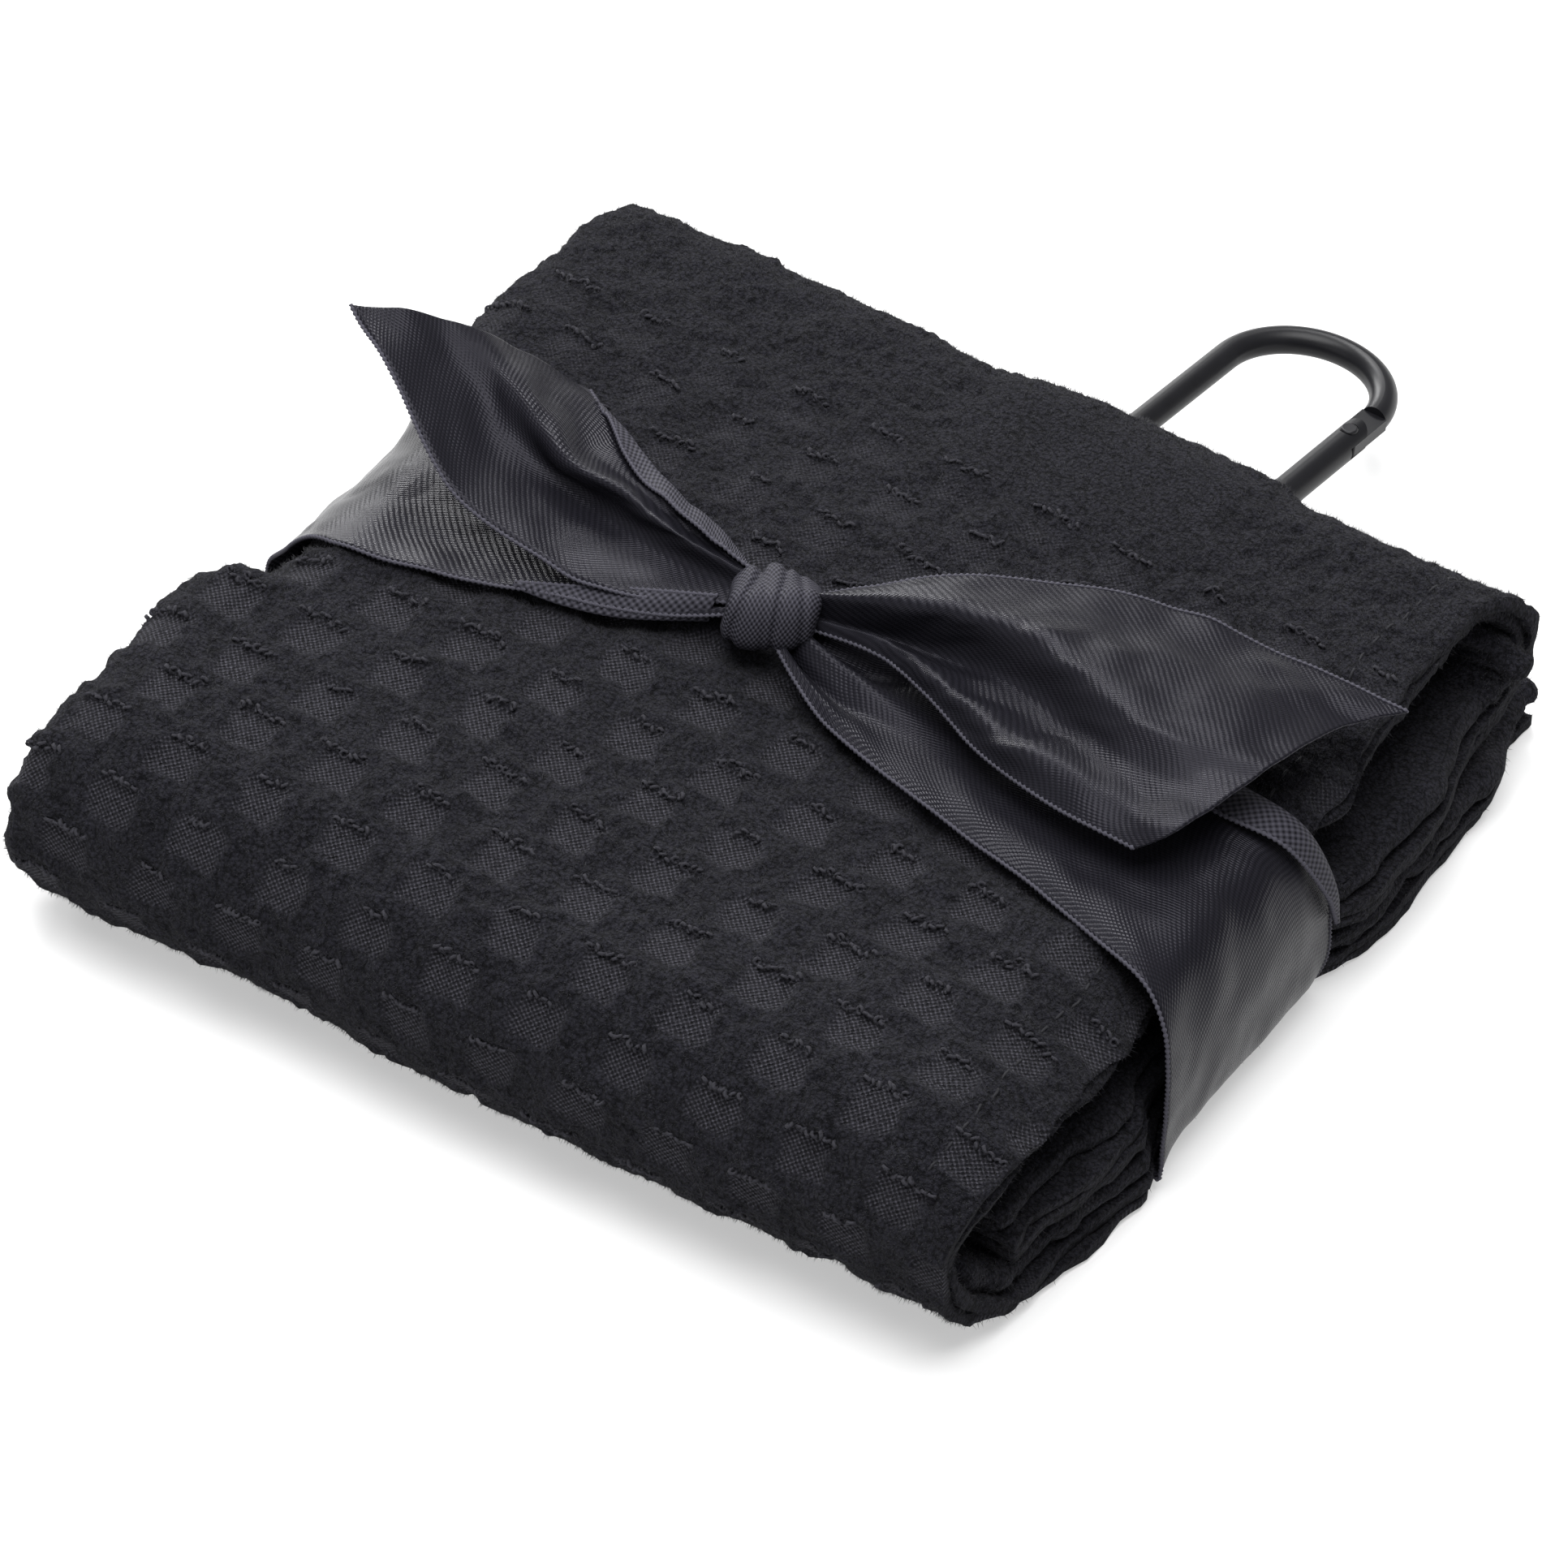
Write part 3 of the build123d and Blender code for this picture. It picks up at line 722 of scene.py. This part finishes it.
def build_loops(face, material):
    """Uncut pile loops: short rows of small rings behind the flat squares."""
    rng = np.random.default_rng(41)
    soup = Soup()
    turn = np.linspace(0, 2 * np.pi, 10)
    for i in range(-22, 23):
        for j in range(-22, 23):
            centre = CHECK_ORIGIN + i * CHECK_A + j * CHECK_B
            if not (-73 < centre[0] < 73 and face.y[0] + 12 < centre[1] < CHECK_END_Y + 1):
                continue
            if under_ribbon(centre[0], centre[1] + SQUARE_HALF[1], 2.0) > 0:
                continue
            count = rng.integers(*LOOP_COUNT)
            start = rng.uniform(-0.8, 0.8)
            for k in range(count):
                x = centre[0] + start + (k - (count - 1) / 2) * LOOP_PITCH + rng.uniform(-0.2, 0.2)
                y = centre[1] + SQUARE_HALF[1] - 0.2 + rng.uniform(-0.4, 0.4)
                radius = rng.uniform(*LOOP_RADIUS)
                (point, up), (beside, _) = face.at(x, y), face.at(x + 0.6, y)
                side = unit(beside - point)
                spin = rng.uniform(-1.1, 1.1)
                forward = np.cross(up, side)
                side, forward = (side * math.cos(spin) + forward * math.sin(spin),
                                 forward * math.cos(spin) - side * math.sin(spin))
                lean = unit(up + forward * rng.uniform(-0.9, 0.5))
                ring = (np.outer(radius * np.cos(turn), side)
                        + np.outer(radius * (0.55 + np.sin(turn)), lean)
                        + np.outer(0.12 * np.sin(turn / 2 + 1), forward))
                tube(soup, point + ring, np.full(len(turn), rng.uniform(*LOOP_THREAD)), 4, (x, y, 0))
    return soup.mesh("towel_uncut_loops", material, "bundle", "towel")


def fibres(soup, roots, up, rng, length, width):
    """Closed slivers, three-sided, standing at roots and leaning at random."""
    n = len(roots)
    lean = unit(up + rng.normal(0, 0.55, (n, 3)))
    side = unit(np.cross(lean, rng.normal(0, 1, (n, 3))))
    other = np.cross(lean, side)
    size = (width * rng.uniform(0.7, 1.2, n))[:, None]
    tall = (rng.uniform(*length, n))[:, None]
    corners = [roots + size * (math.cos(a) * side + math.sin(a) * other) - 0.1 * up
               for a in (0.0, 2.1, 4.2)]
    tip = roots + lean * tall + side * tall * rng.uniform(-0.35, 0.35, (n, 1))
    points = np.stack((*corners, tip), axis=1)
    points[..., 2] = np.maximum(points[..., 2], THREAD_LOW)
    first = 4 * np.arange(n)[:, None]
    faces = np.concatenate([first + np.array(f) for f in ((0, 2, 1), (0, 1, 3), (1, 2, 3), (2, 0, 3))])
    soup.add(points, faces, np.tile((0.0, 0.0, 0.0), (4 * n, 1)))


FACE_FIBRES, END_FIBRES, FIBRE_RADIUS = 110000, 36000, 0.045


def build_fuzz(face, towel, material):
    """Loose pile fibres over the outer face and along the open right end."""
    rng = np.random.default_rng(43)
    soup = Soup()
    x = rng.uniform(-74.5, 74.5, FACE_FIBRES)
    y = rng.uniform(face.y[0], face.y[-1], FACE_FIBRES)
    keep = (squares(x, y) < rng.uniform(0.1, 0.9, FACE_FIBRES)) & (under_ribbon(x, y, -0.8) == 0)
    roots, up = face.at(x[keep], y[keep])
    fibres(soup, roots, up, rng, (0.35, 0.95), FIBRE_RADIUS)
    mesh = towel.data
    points = np.empty(len(mesh.vertices) * 3, np.float32)
    normals = np.empty(len(mesh.vertices) * 3, np.float32)
    mesh.vertices.foreach_get("co", points)
    mesh.vertex_normals.foreach_get("vector", normals)
    points, normals = points.reshape(-1, 3) / MM, normals.reshape(-1, 3)
    ends = np.flatnonzero((points[:, 0] > 62) & (points[:, 2] > 1.0))
    ends = rng.choice(ends, min(END_FIBRES, len(ends)), replace=False)
    fibres(soup, points[ends], normals[ends], rng, (0.35, 1.0), FIBRE_RADIUS)
    return soup.mesh("towel_loose_fibres", material, "bundle", "towel")


# ---------------- ribbon

RIBBON_HALF = 0.14
BEAD_PITCH = 0.8


def spline(points, count):
    """count points along a smooth curve through the points, evenly spaced in the parameter."""
    points = np.asarray(points, float)
    n = len(points)
    t = np.linspace(0, n - 1, count)
    k = np.minimum(t.astype(int), n - 2)
    f = (t - k).reshape((-1,) + (1,) * (points.ndim - 1))
    here, there = points[k], points[k + 1]
    before = np.where((k > 0).reshape(f.shape), points[np.maximum(k - 1, 0)], 2 * here - there)
    after = np.where((k < n - 2).reshape(f.shape), points[np.minimum(k + 2, n - 1)], 2 * there - here)
    return 0.5 * (2 * here + f * (there - before) + f * f * (2 * before - 5 * here + 4 * there - after)
                  + f ** 3 * (3 * here - before - 3 * there + after))


def loft(lines, along, across):
    """A grid of points through several lines, each a list of points from the knot outwards."""
    lines = np.asarray(lines, float)
    stretched = spline(np.swapaxes(lines, 0, 1), along)
    return np.swapaxes(spline(np.swapaxes(stretched, 0, 1), across), 0, 1)


def lengths(points, axis):
    step = np.linalg.norm(np.diff(points, axis=axis), axis=-1)
    start = np.zeros_like(np.take(step, [0], axis=axis))
    return np.concatenate((start, np.cumsum(step, axis=axis)), axis=axis)


def strip(soup, points, satin_up=True):
    """A ribbon's closed thin shell round a grid of points: satin on one side, rib on the other."""
    normal = grid_normals(points)
    if normal[..., 2].mean() < 0:
        normal = -normal
    along, across = lengths(points, 0), lengths(points, 1)
    rib = np.full(along.shape, 0.0 if satin_up else 1.0)
    upper = vectors(along, across, rib)
    lower = vectors(along, across, 1.0 - rib)
    closed_sheet(soup, points + RIBBON_HALF * normal, points - RIBBON_HALF * normal, upper, lower)


def selvedge(soup, line):
    """The woven edge: a thread that swells and narrows like a row of beads."""
    line = np.asarray(line, float)
    run = lengths(line, 0)
    steps = max(8, round(run[-1] / (BEAD_PITCH / 4)))
    at = np.linspace(0, run[-1], steps)
    path = np.stack([np.interp(at, run, line[:, k]) for k in range(3)], axis=-1)
    radii = 0.27 + 0.11 * np.cos(2 * np.pi * at / BEAD_PITCH)
    tube(soup, path, radii, 6, (0.25 * RIB_PITCH, 0.25 * RIB_PITCH, 1.0))


def edged_strip(points):
    """A ribbon with a selvedge along both sides."""
    soup = Soup()
    strip(soup, points)
    selvedge(soup, points[:, 0])
    selvedge(soup, points[:, -1])
    return soup


LEFT_TAIL_LINES = [
    [(-4, 0, 38), (-20.5, -8, 38), (-35.5, -9, 39), (-49, -7.5, 42.5), (-62, -0.5, 47.5), (-74.5, 6, 52)],
    [(-4, 0.5, 39.5), (-23, 1, 38.6), (-36, 4, 38.8), (-45.5, 5, 40.5), (-57.5, 9, 45), (-66, 12.5, 49.5)],
    [(-4, 1.2, 41), (-18.5, 1.5, 42.6), (-28, 3.5, 43.2), (-37, 4.5, 43.7), (-49.5, 11, 44.7),
     (-60, 16.5, 46.5)],
    [(-4, 1.6, 41.2), (-18, 4, 42), (-28, 6.5, 41.8), (-36.5, 10, 41.8), (-44, 13.5, 42.2),
     (-54, 19.5, 42.8)],
    [(-4, 2, 41), (-14.5, 6, 42.5), (-24, 9, 42), (-33, 14, 41), (-42, 18.5, 40.3), (-49, 21, 40.2)],
    [(-4, 2, 41.5), (-13.5, 3, 43.4), (-23.5, 6, 43.3), (-32.5, 10.8, 42.6),
     (-39.5, 16.5, 41.2), (-46, 21.5, 39.2)],
]

RIGHT_TAIL_LINES = [
    [(2, 2.5, 40.5), (16, 12, 44), (30, 20.5, 43.5), (42, 25.5, 43), (60.5, 28, 42.5), (80, 28.5, 41.5)],
    [(2, 2, 41.5), (17.5, 9, 45), (31, 14.5, 45.4), (43.5, 16.5, 45.4), (60, 17, 44.8), (75, 21.5, 42.2)],
    [(2, 1.5, 42), (18.5, 6, 44.6), (31, 8, 45.8), (42.5, 7, 46.4), (56.5, 4, 46), (72, 7.5, 43.8)],
    [(2, 1, 39.5), (15.5, 4.5, 38.6), (25.5, 5, 39.2), (38, 3.5, 40.8), (50, -0.5, 42.2), (69, -3.5, 42.6)],
    [(2, 0.5, 39), (16, 1.5, 41.2), (27, -1.5, 42.2), (41, -5.5, 42.6), (52, -7, 42.4), (67, -8.5, 41.6)],
    [(2, 0, 38), (15.5, 0, 39.6), (25.5, -3.2, 40.2), (37, -8, 39.8), (51, -11.2, 40.2),
     (63.5, -11.5, 39.8)],
]

# The turn round the bundle, from the knot to the left, underneath and back: x, z, then the front and
# rear edges and how far the lengthwise folds stand up.
BAND_STATIONS = [
    (-4, 37.6, -2.5, 3.0, 1.6), (-12, 36.2, -6.5, 7.0, 1.5), (-22, 35.7, -10.3, 12.0, 1.0),
    (-33, 35.3, -12.8, 17.0, 0.5), (-45, 35.0, -17.0, 20.0, 0.2), (-56, 33.9, -19.2, 21.5, 0.2),
    (-63, 30.9, -18.4, 21.8, 0.5), (-69, 26.0, -16.4, 22.0, 0.7), (-74, 20.6, -13.2, 22.5, 0.6),
    (-77.2, 14.5, -11.5, 23.0, 0.3), (-77.6, 8.0, -11.5, 23.5, 0.0),
    (-72, 0.9, -13.0, 23.0, 0.0), (-60, 0.3, -14.5, 22.0, 0.0), (-30, 0.3, -17.5, 19.5, 0.0),
    (0, 0.3, -20.5, 16.5, 0.0), (30, 0.3, -23.5, 14.0, 0.0), (60, 0.3, -26.5, 13.0, 0.0),
    (73, 0.5, -28.0, 13.0, 0.0), (78.6, 5.0, -28.3, 13.0, 0.0), (79.6, 14.0, -28.3, 13.0, 0.3),
    (79.3, 24.5, -27.8, 11.5, 0.3), (75.8, 33.4, -26.2, 9.0, 0.2), (66, 35.0, -23.7, 9.2, 0.1),
    (50, 35.2, -19.5, 9.2, 0.2), (36, 35.3, -16.7, 8.8, 0.4), (26, 35.5, -14.7, 8.0, 0.7),
    (16, 35.9, -12.0, 6.5, 1.2), (8, 36.6, -8.0, 4.5, 1.6), (1, 37.6, -3.5, 3.0, 1.6),
]
BAND_LINES = 9

# The turn's rear margin, folded back on the right, and its front one, folded back beside the knot.
REAR_MARGIN_LINES = [
    [(38, 8.8, 35.6), (52, 9.4, 35.9), (66, 9.6, 35.8), (75.9, 9.4, 34.3), (79.9, 11.6, 25),
     (80.2, 13.1, 16)],
    [(38, 8.4, 36.0), (52, 8.0, 36.5), (66, 7.2, 36.5), (76.2, 7.4, 35.0), (80.6, 10.6, 25),
     (80.6, 12.9, 16)],
    [(38, 7.6, 35.9), (52, 5.4, 36.2), (66, 3.4, 36.2), (76.2, 4.4, 34.8), (80.5, 8.6, 25),
     (80.4, 12.5, 16)],
]
FRONT_MARGIN_LINES = [
    [(-34, -13.2, 35.4), (-26, -12.2, 35.4), (-18, -9.8, 35.6), (-8, -4.6, 36.4)],
    [(-34, -12.9, 35.9), (-26, -10.6, 36.4), (-18, -7.8, 37.2), (-8, -3.4, 38.6)],
    [(-34, -12.5, 35.9), (-26, -9.0, 36.6), (-18, -5.8, 37.8), (-8, -2.4, 39.4)],
]


def crumple(points, amount, seed):
    """Long shallow dents along a ribbon, none at its first end."""
    along, across = lengths(points, 0), lengths(points, 1)
    dent = noise(along, across * 1.7, 11.0, seed) + 0.5 * noise(along, across * 1.5, 5.0, seed + 1)
    return points + grid_normals(points) * (amount * dent * smooth(along, 2, 16))[..., None]


def band_grid():
    """The turn's lines through its stations, with lengthwise folds that stand up beside the knot."""
    lines = []
    for k in range(BAND_LINES):
        share = k / (BAND_LINES - 1)
        fold = math.sin(share * 5 * math.pi + 0.4)
        line = []
        for x, z, front, rear, folds in BAND_STATIONS:
            out = np.array((0.0, 0.0, 1.0)) if z > 30 else np.array((math.copysign(1.0, x), 0, 0))
            line.append(np.array((x, front + (rear - front) * share, z)) + folds * fold * out)
        lines.append(line)
    return loft(lines, 26 * len(BAND_STATIONS), 49)


def turned_margin(soup, lines, along, reaches):
    """A margin of the turn that is folded back on itself, rib side up."""
    points = loft(lines, along, 13)
    lift_clear(points, reaches, 0.75)
    strip(soup, points, satin_up=False)
    selvedge(soup, points[:, -1])


def build_band(reaches, material):
    """The ribbon's turn round the bundle: laid on the cloth, evened out, and dented."""
    points = band_grid()
    for gap in (0.6, 0.5, 0.4, 0.35):
        lift_clear(points, reaches, gap)
        relax(points, 40)
    points = crumple(points, 0.35, 61)
    lift_clear(points, reaches, 0.25)
    points[..., 2] = np.maximum(points[..., 2], RIBBON_LOW)
    soup = edged_strip(points)
    turned_margin(soup, REAR_MARGIN_LINES, 150, reaches)
    turned_margin(soup, FRONT_MARGIN_LINES, 60, reaches)
    piece = soup.mesh("ribbon_turn", material, "bundle", "ribbon")
    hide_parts("ribbon_wrap")
    return piece


def relax(points, times):
    """Evens out a grid of points away from the knot, keeping its rim."""
    share = smooth(np.abs(points[..., :1]), 14, 36)
    for _ in range(times):
        points[1:-1] += 0.25 * share[1:-1] * (points[2:] + points[:-2] - 2 * points[1:-1])
        inner = points[1:-1]
        inner[:, 1:-1] += 0.2 * share[1:-1, 1:-1] * (inner[:, 2:] + inner[:, :-2] - 2 * inner[:, 1:-1])


def lift_clear(points, reaches, gap):
    """Moves a ribbon's points out of the cloth by gap: up on top, and sideways at the two ends."""
    top, left, right = reaches
    x, z = points[..., 0], points[..., 2]
    on_top = (x > -70) & (x < 74) & (z > 20)
    at_left, at_right = (x <= -70) & (z > 2), (x >= 74) & (z > 2)
    points[..., 2] = np.where(on_top, np.maximum(z, top.at(points) + gap), z)
    points[..., 0] = np.where(at_left, np.minimum(x, -left.at(points) - gap), x)
    points[..., 0] = np.where(at_right, np.maximum(x, right.at(points) + gap), x)


def build_tail(name, node, lines, seed, material):
    """One loose end of the ribbon."""
    points = crumple(loft(lines, 180, 61), 0.55, seed)
    soup = edged_strip(points)
    piece = soup.mesh(name, material, "bundle", "ribbon")
    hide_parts(node)
    return piece


KNOT_CENTRE = np.array((-0.5, -0.6, 39.3))
KNOT_SIZE = (6.3, 6.5, 5.0)
KNOT_TURN = math.radians(32)
# Creases between the knot's facets: place along its axis, lean, depth and width.
KNOT_CREASES = [(-0.55, 0.24, 0.13, 0.085), (0.14, 0.06, 0.10, 0.075), (-0.22, -0.12, 0.05, 0.10),
                (0.58, -0.12, 0.07, 0.09)]


def build_knot(material):
    """The ribbon's own turn round its neck: a barrel of slanting pleats, closing in at both ends."""
    around = np.linspace(0, 2 * np.pi, 181)[:-1][:, None]
    phi = np.linspace(-1.42, 1.42, 121)[None, :]
    w = np.sign(np.sin(phi)) * np.abs(np.sin(phi)) ** 0.85
    wide = np.cos(phi) ** 0.42
    facet = 1 / (np.abs(np.cos(around + 0.45)) ** 3.2 + np.abs(np.sin(around + 0.45)) ** 3.2) ** (1 / 3.2)
    rear = np.maximum(np.cos(around), 0.0)
    reach = wide * (0.90 * facet + 0.05 * np.sin(3 * around + 0.6) - 0.30 * rear * smooth(w, 0.05, 1.0))
    for place, lean, depth, width in KNOT_CREASES:
        reach = reach - depth * wide * np.exp(-((w - place - lean * np.cos(around)) / width) ** 2)
    bumps = np.exp(-((w + 0.62) / 0.16) ** 2) + np.exp(-((w + 0.08) / 0.2) ** 2)
    reach = reach + wide * 0.09 * rear * bumps
    axis = KNOT_SIZE[0] * (w + 0.10 * np.sin(around + 0.5))
    y = KNOT_SIZE[1] * reach * np.cos(around)
    z = KNOT_SIZE[2] * reach * np.sin(around)
    cos, sin = math.cos(KNOT_TURN), math.sin(KNOT_TURN)
    points = vectors(cos * axis - sin * y, sin * axis + cos * y, z + 0 * axis) + KNOT_CENTRE
    rows, cols = points.shape[:2]
    index = np.arange(rows * cols).reshape(rows, cols)
    beside = np.roll(index, -1, axis=0)
    walls = quads(index[:, :-1], beside[:, :-1], beside[:, 1:], index[:, 1:])
    half = rows // 2
    caps = []
    for col, turned in ((0, True), (cols - 1, False)):
        for k in range(half - 1):
            quad = [index[k, col], index[k + 1, col], index[rows - 2 - k, col], index[rows - 1 - k, col]]
            caps.append(quad if turned else quad[::-1])
    notes = vectors(6.0 * around + 0 * w, 11.0 * w + 0 * around, 1.0 + 0 * w * around)
    soup = Soup()
    soup.add(points, np.concatenate((walls[:, ::-1], np.array(caps))), notes)
    piece = soup.mesh("ribbon_knot_tied", material, "bundle", "ribbon")
    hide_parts("ribbon_knot")
    return piece


# ---------------- hem, stitches and fittings

TAB_CENTRE = np.array((16.8, 60.9, 17.1))
TAB_TILT = math.radians(45)
TAB_HOLE = 6.6
TAB_HALF = (13.6, 11.0)
TAB_HALF_THICK = 0.75


def build_tab(material):
    """The hem's corner that the eyelet is set in, tilted through the clip's loop."""
    turn = np.linspace(0, 2 * np.pi, 97)[:-1, None]
    share = np.linspace(0, 1, 22)[None, :]
    cos, sin = np.cos(turn), np.sin(turn)
    reach = 1 / (np.abs(cos / TAB_HALF[0]) ** 6 + np.abs(sin / TAB_HALF[1]) ** 6) ** (1 / 6)
    radius = TAB_HOLE + (reach - TAB_HOLE) * share
    a, b = radius * cos, radius * sin
    c, s = math.cos(TAB_TILT), math.sin(TAB_TILT)
    points = TAB_CENTRE + vectors(a * c, b, a * s)
    up = np.array((-s, 0.0, c))
    rough = 0.12 * noise(a, b, 1.1, 51)[..., None]
    # round the section once: out along the top, back along the underside
    thick = (TAB_HALF_THICK + rough) * up
    section = np.concatenate((points + thick, (points - thick)[:, ::-1]), axis=1)
    note = vectors(a, b, 0 * a)
    note = np.concatenate((note, note[:, ::-1]), axis=1)
    index = np.arange(section[..., 0].size).reshape(section.shape[:2])
    turned, onward = np.roll(index, -1, axis=0), np.roll(index, -1, axis=1)
    faces = quads(index, onward, np.roll(turned, -1, axis=1), turned)
    soup = Soup()
    soup.add(section, faces, note)
    return soup.mesh("towel_hem_tab", material, "bundle", "towel")


def thread_look():
    """Plied sewing thread."""
    look = Look("sewing_thread", (0.014, 0.014, 0.017), 0.75, Specular_IOR_Level=0.15)
    ply = look.noise(5200.0, 1.0)
    look.colour(look.mix(ply, (0.006, 0.006, 0.008), (0.030, 0.030, 0.034)))
    look.bump(ply, 0.5, 0.00008)
    return look.material


STITCH, STITCH_PITCH = 2.4, 3.4
STITCH_RADII = (0.12, 0.2, 0.2, 0.2, 0.12)
SIDE_HEM_X, REAR_HEM_Y = 67.5, 70.2


def build_stitches(face, ledge, material):
    """The thread along the turned hems: short stitches that sink at both ends."""
    soup = Soup()
    arch = np.array((-0.45, -0.02, 0.06, -0.02, -0.45))
    for y in np.arange(-68, 68, STITCH_PITCH):
        at = y + np.linspace(0, STITCH, 5)
        points, up = face.at(np.full(5, SIDE_HEM_X), at)
        tube(soup, points + up * arch[:, None], STITCH_RADII, 6, (0, 0, 0))
    for x in np.arange(-66, 70, STITCH_PITCH):
        at = x + np.linspace(0, STITCH, 5)
        near = [ledge[np.hypot(ledge[:, 0] - a, ledge[:, 1] - REAR_HEM_Y) < 1.6] for a in at]
        if min(len(n) for n in near) == 0:
            continue
        height = np.array([n[:, 2].max() for n in near])
        points = vectors(at, np.full(5, REAR_HEM_Y), height + arch)
        tube(soup, points, STITCH_RADII, 6, (0, 0, 0))
    piece = soup.mesh("hem_stitches", material, "bundle", "thread")
    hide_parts("hem_stitching")
    return piece


def finish_cad_nodes():
    """Better finishes for the metal pieces, whose shapes are already right."""
    anodised = metal_look("black_anodised", (0.0065, 0.0065, 0.0080), 0.36, 5000.0)
    blackened = metal_look("blackened_steel", (0.014, 0.014, 0.016), 0.36, 4000.0, metallic=0.2)
    spring = metal_look("spring_steel", (0.50, 0.50, 0.51), 0.30, 4000.0, metallic=1.0)
    lacquer = metal_look("black_lacquer", (0.022, 0.022, 0.024), 0.28, 3000.0)
    finishes = {
        "clip_frame": anodised, "clip_gate": anodised,
        "gate_rivet": blackened, "gate_latch_pin": blackened,
        "gate_plunger": spring, "gate_spring": spring,
        "eyelet_barrel": lacquer, "eyelet_washer": lacquer,
    }
    for node, material in finishes.items():
        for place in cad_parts[node].material_slots:
            place.material = material


# ---------------- floor, light and camera

def build_stage():
    mesh = bpy.data.meshes.new("floor")
    size, steps = 3.0, 12
    line = np.linspace(-size, size, steps + 1)
    points = [(x, y, 0.0) for y in line for x in line]
    across = steps + 1
    corners = [r * across + c for r in range(steps) for c in range(steps)]
    faces = [(k, k + 1, k + across + 1, k + across) for k in corners]
    mesh.from_pydata(points, [], faces)
    mesh.materials.append(floor_look())
    floor = put("floor", mesh)


WORLD_STRENGTH = 0.33
LIGHT_AIM = (0, 0, 0.02)
# Each area light's name, place, size and power, in metres and watts.
LIGHTS = [
    ("overhead", (0.05, -0.05, 1.30), (1.0, 1.0), 26.0),
    ("back_left", (-0.66, 0.86, 0.96), (0.60, 0.30), 12.0),
    ("left_low", (-1.00, 0.75, 0.35), (0.6, 0.25), 9.0),
    ("front", (-0.35, -1.05, 0.60), (1.1, 0.6), 2.6),
]


def area_light(name, place, size, power):
    data = bpy.data.lights.new(name, "AREA")
    data.shape = "RECTANGLE"
    data.size, data.size_y = size
    data.energy = power
    light = put(name, data)
    light.location = place
    light.rotation_euler = (Vector(LIGHT_AIM) - Vector(place)).to_track_quat("-Z", "Y").to_euler()


def build_light():
    world = bpy.data.worlds.new("studio")
    world.use_nodes = True
    fill(world.node_tree.nodes["Background"].inputs, Color=(1.0, 1.0, 1.0, 1.0), Strength=WORLD_STRENGTH)
    bpy.context.scene.world = world
    for name, place, size, power in LIGHTS:
        area_light(name, place, size, power)


def build_camera():
    data = bpy.data.cameras.new("camera")
    data.lens = CAMERA_LENS
    data.sensor_width = 36.0
    data.clip_start, data.clip_end = 0.01, 20.0
    camera = put("camera", data)
    a, e = math.radians(CAMERA_AZIMUTH), math.radians(CAMERA_ELEVATION)
    back = Vector((math.sin(a) * math.cos(e), -math.cos(a) * math.cos(e), math.sin(e)))
    camera.location = CAMERA_AIM + back * CAMERA_DISTANCE
    camera.rotation_euler = (-back).to_track_quat("-Z", "Y").to_euler()
    bpy.context.scene.camera = camera


# ---------------- the whole

def main():
    bpy.context.scene.view_settings.view_transform = "Standard"
    build_stage()
    build_light()
    build_camera()
    velour, loop, fibre, satin = towel_look(), loop_look(), fibre_look(), ribbon_look()
    towel, points, normals, notes, ledge, everywhere = build_towel(velour)
    face = Face(points, normals, notes)
    extras = [build_loops(face, loop), build_fuzz(face, towel, fibre), build_tab(velour),
              build_stitches(face, ledge, thread_look())]
    cloth = np.concatenate((points.reshape(-1, 3), everywhere))
    reaches = (Reach(cloth, [0, 1], 2, 1), Reach(cloth, [1, 2], 0, -1), Reach(cloth, [1, 2], 0, 1))
    band = build_band(reaches, satin)
    knot = build_knot(satin)
    left = build_tail("ribbon_end_left", "ribbon_tail_left", LEFT_TAIL_LINES, 71, satin)
    right = build_tail("ribbon_end_right", "ribbon_tail_right", RIGHT_TAIL_LINES, 81, satin)
    finish_cad_nodes()


main()
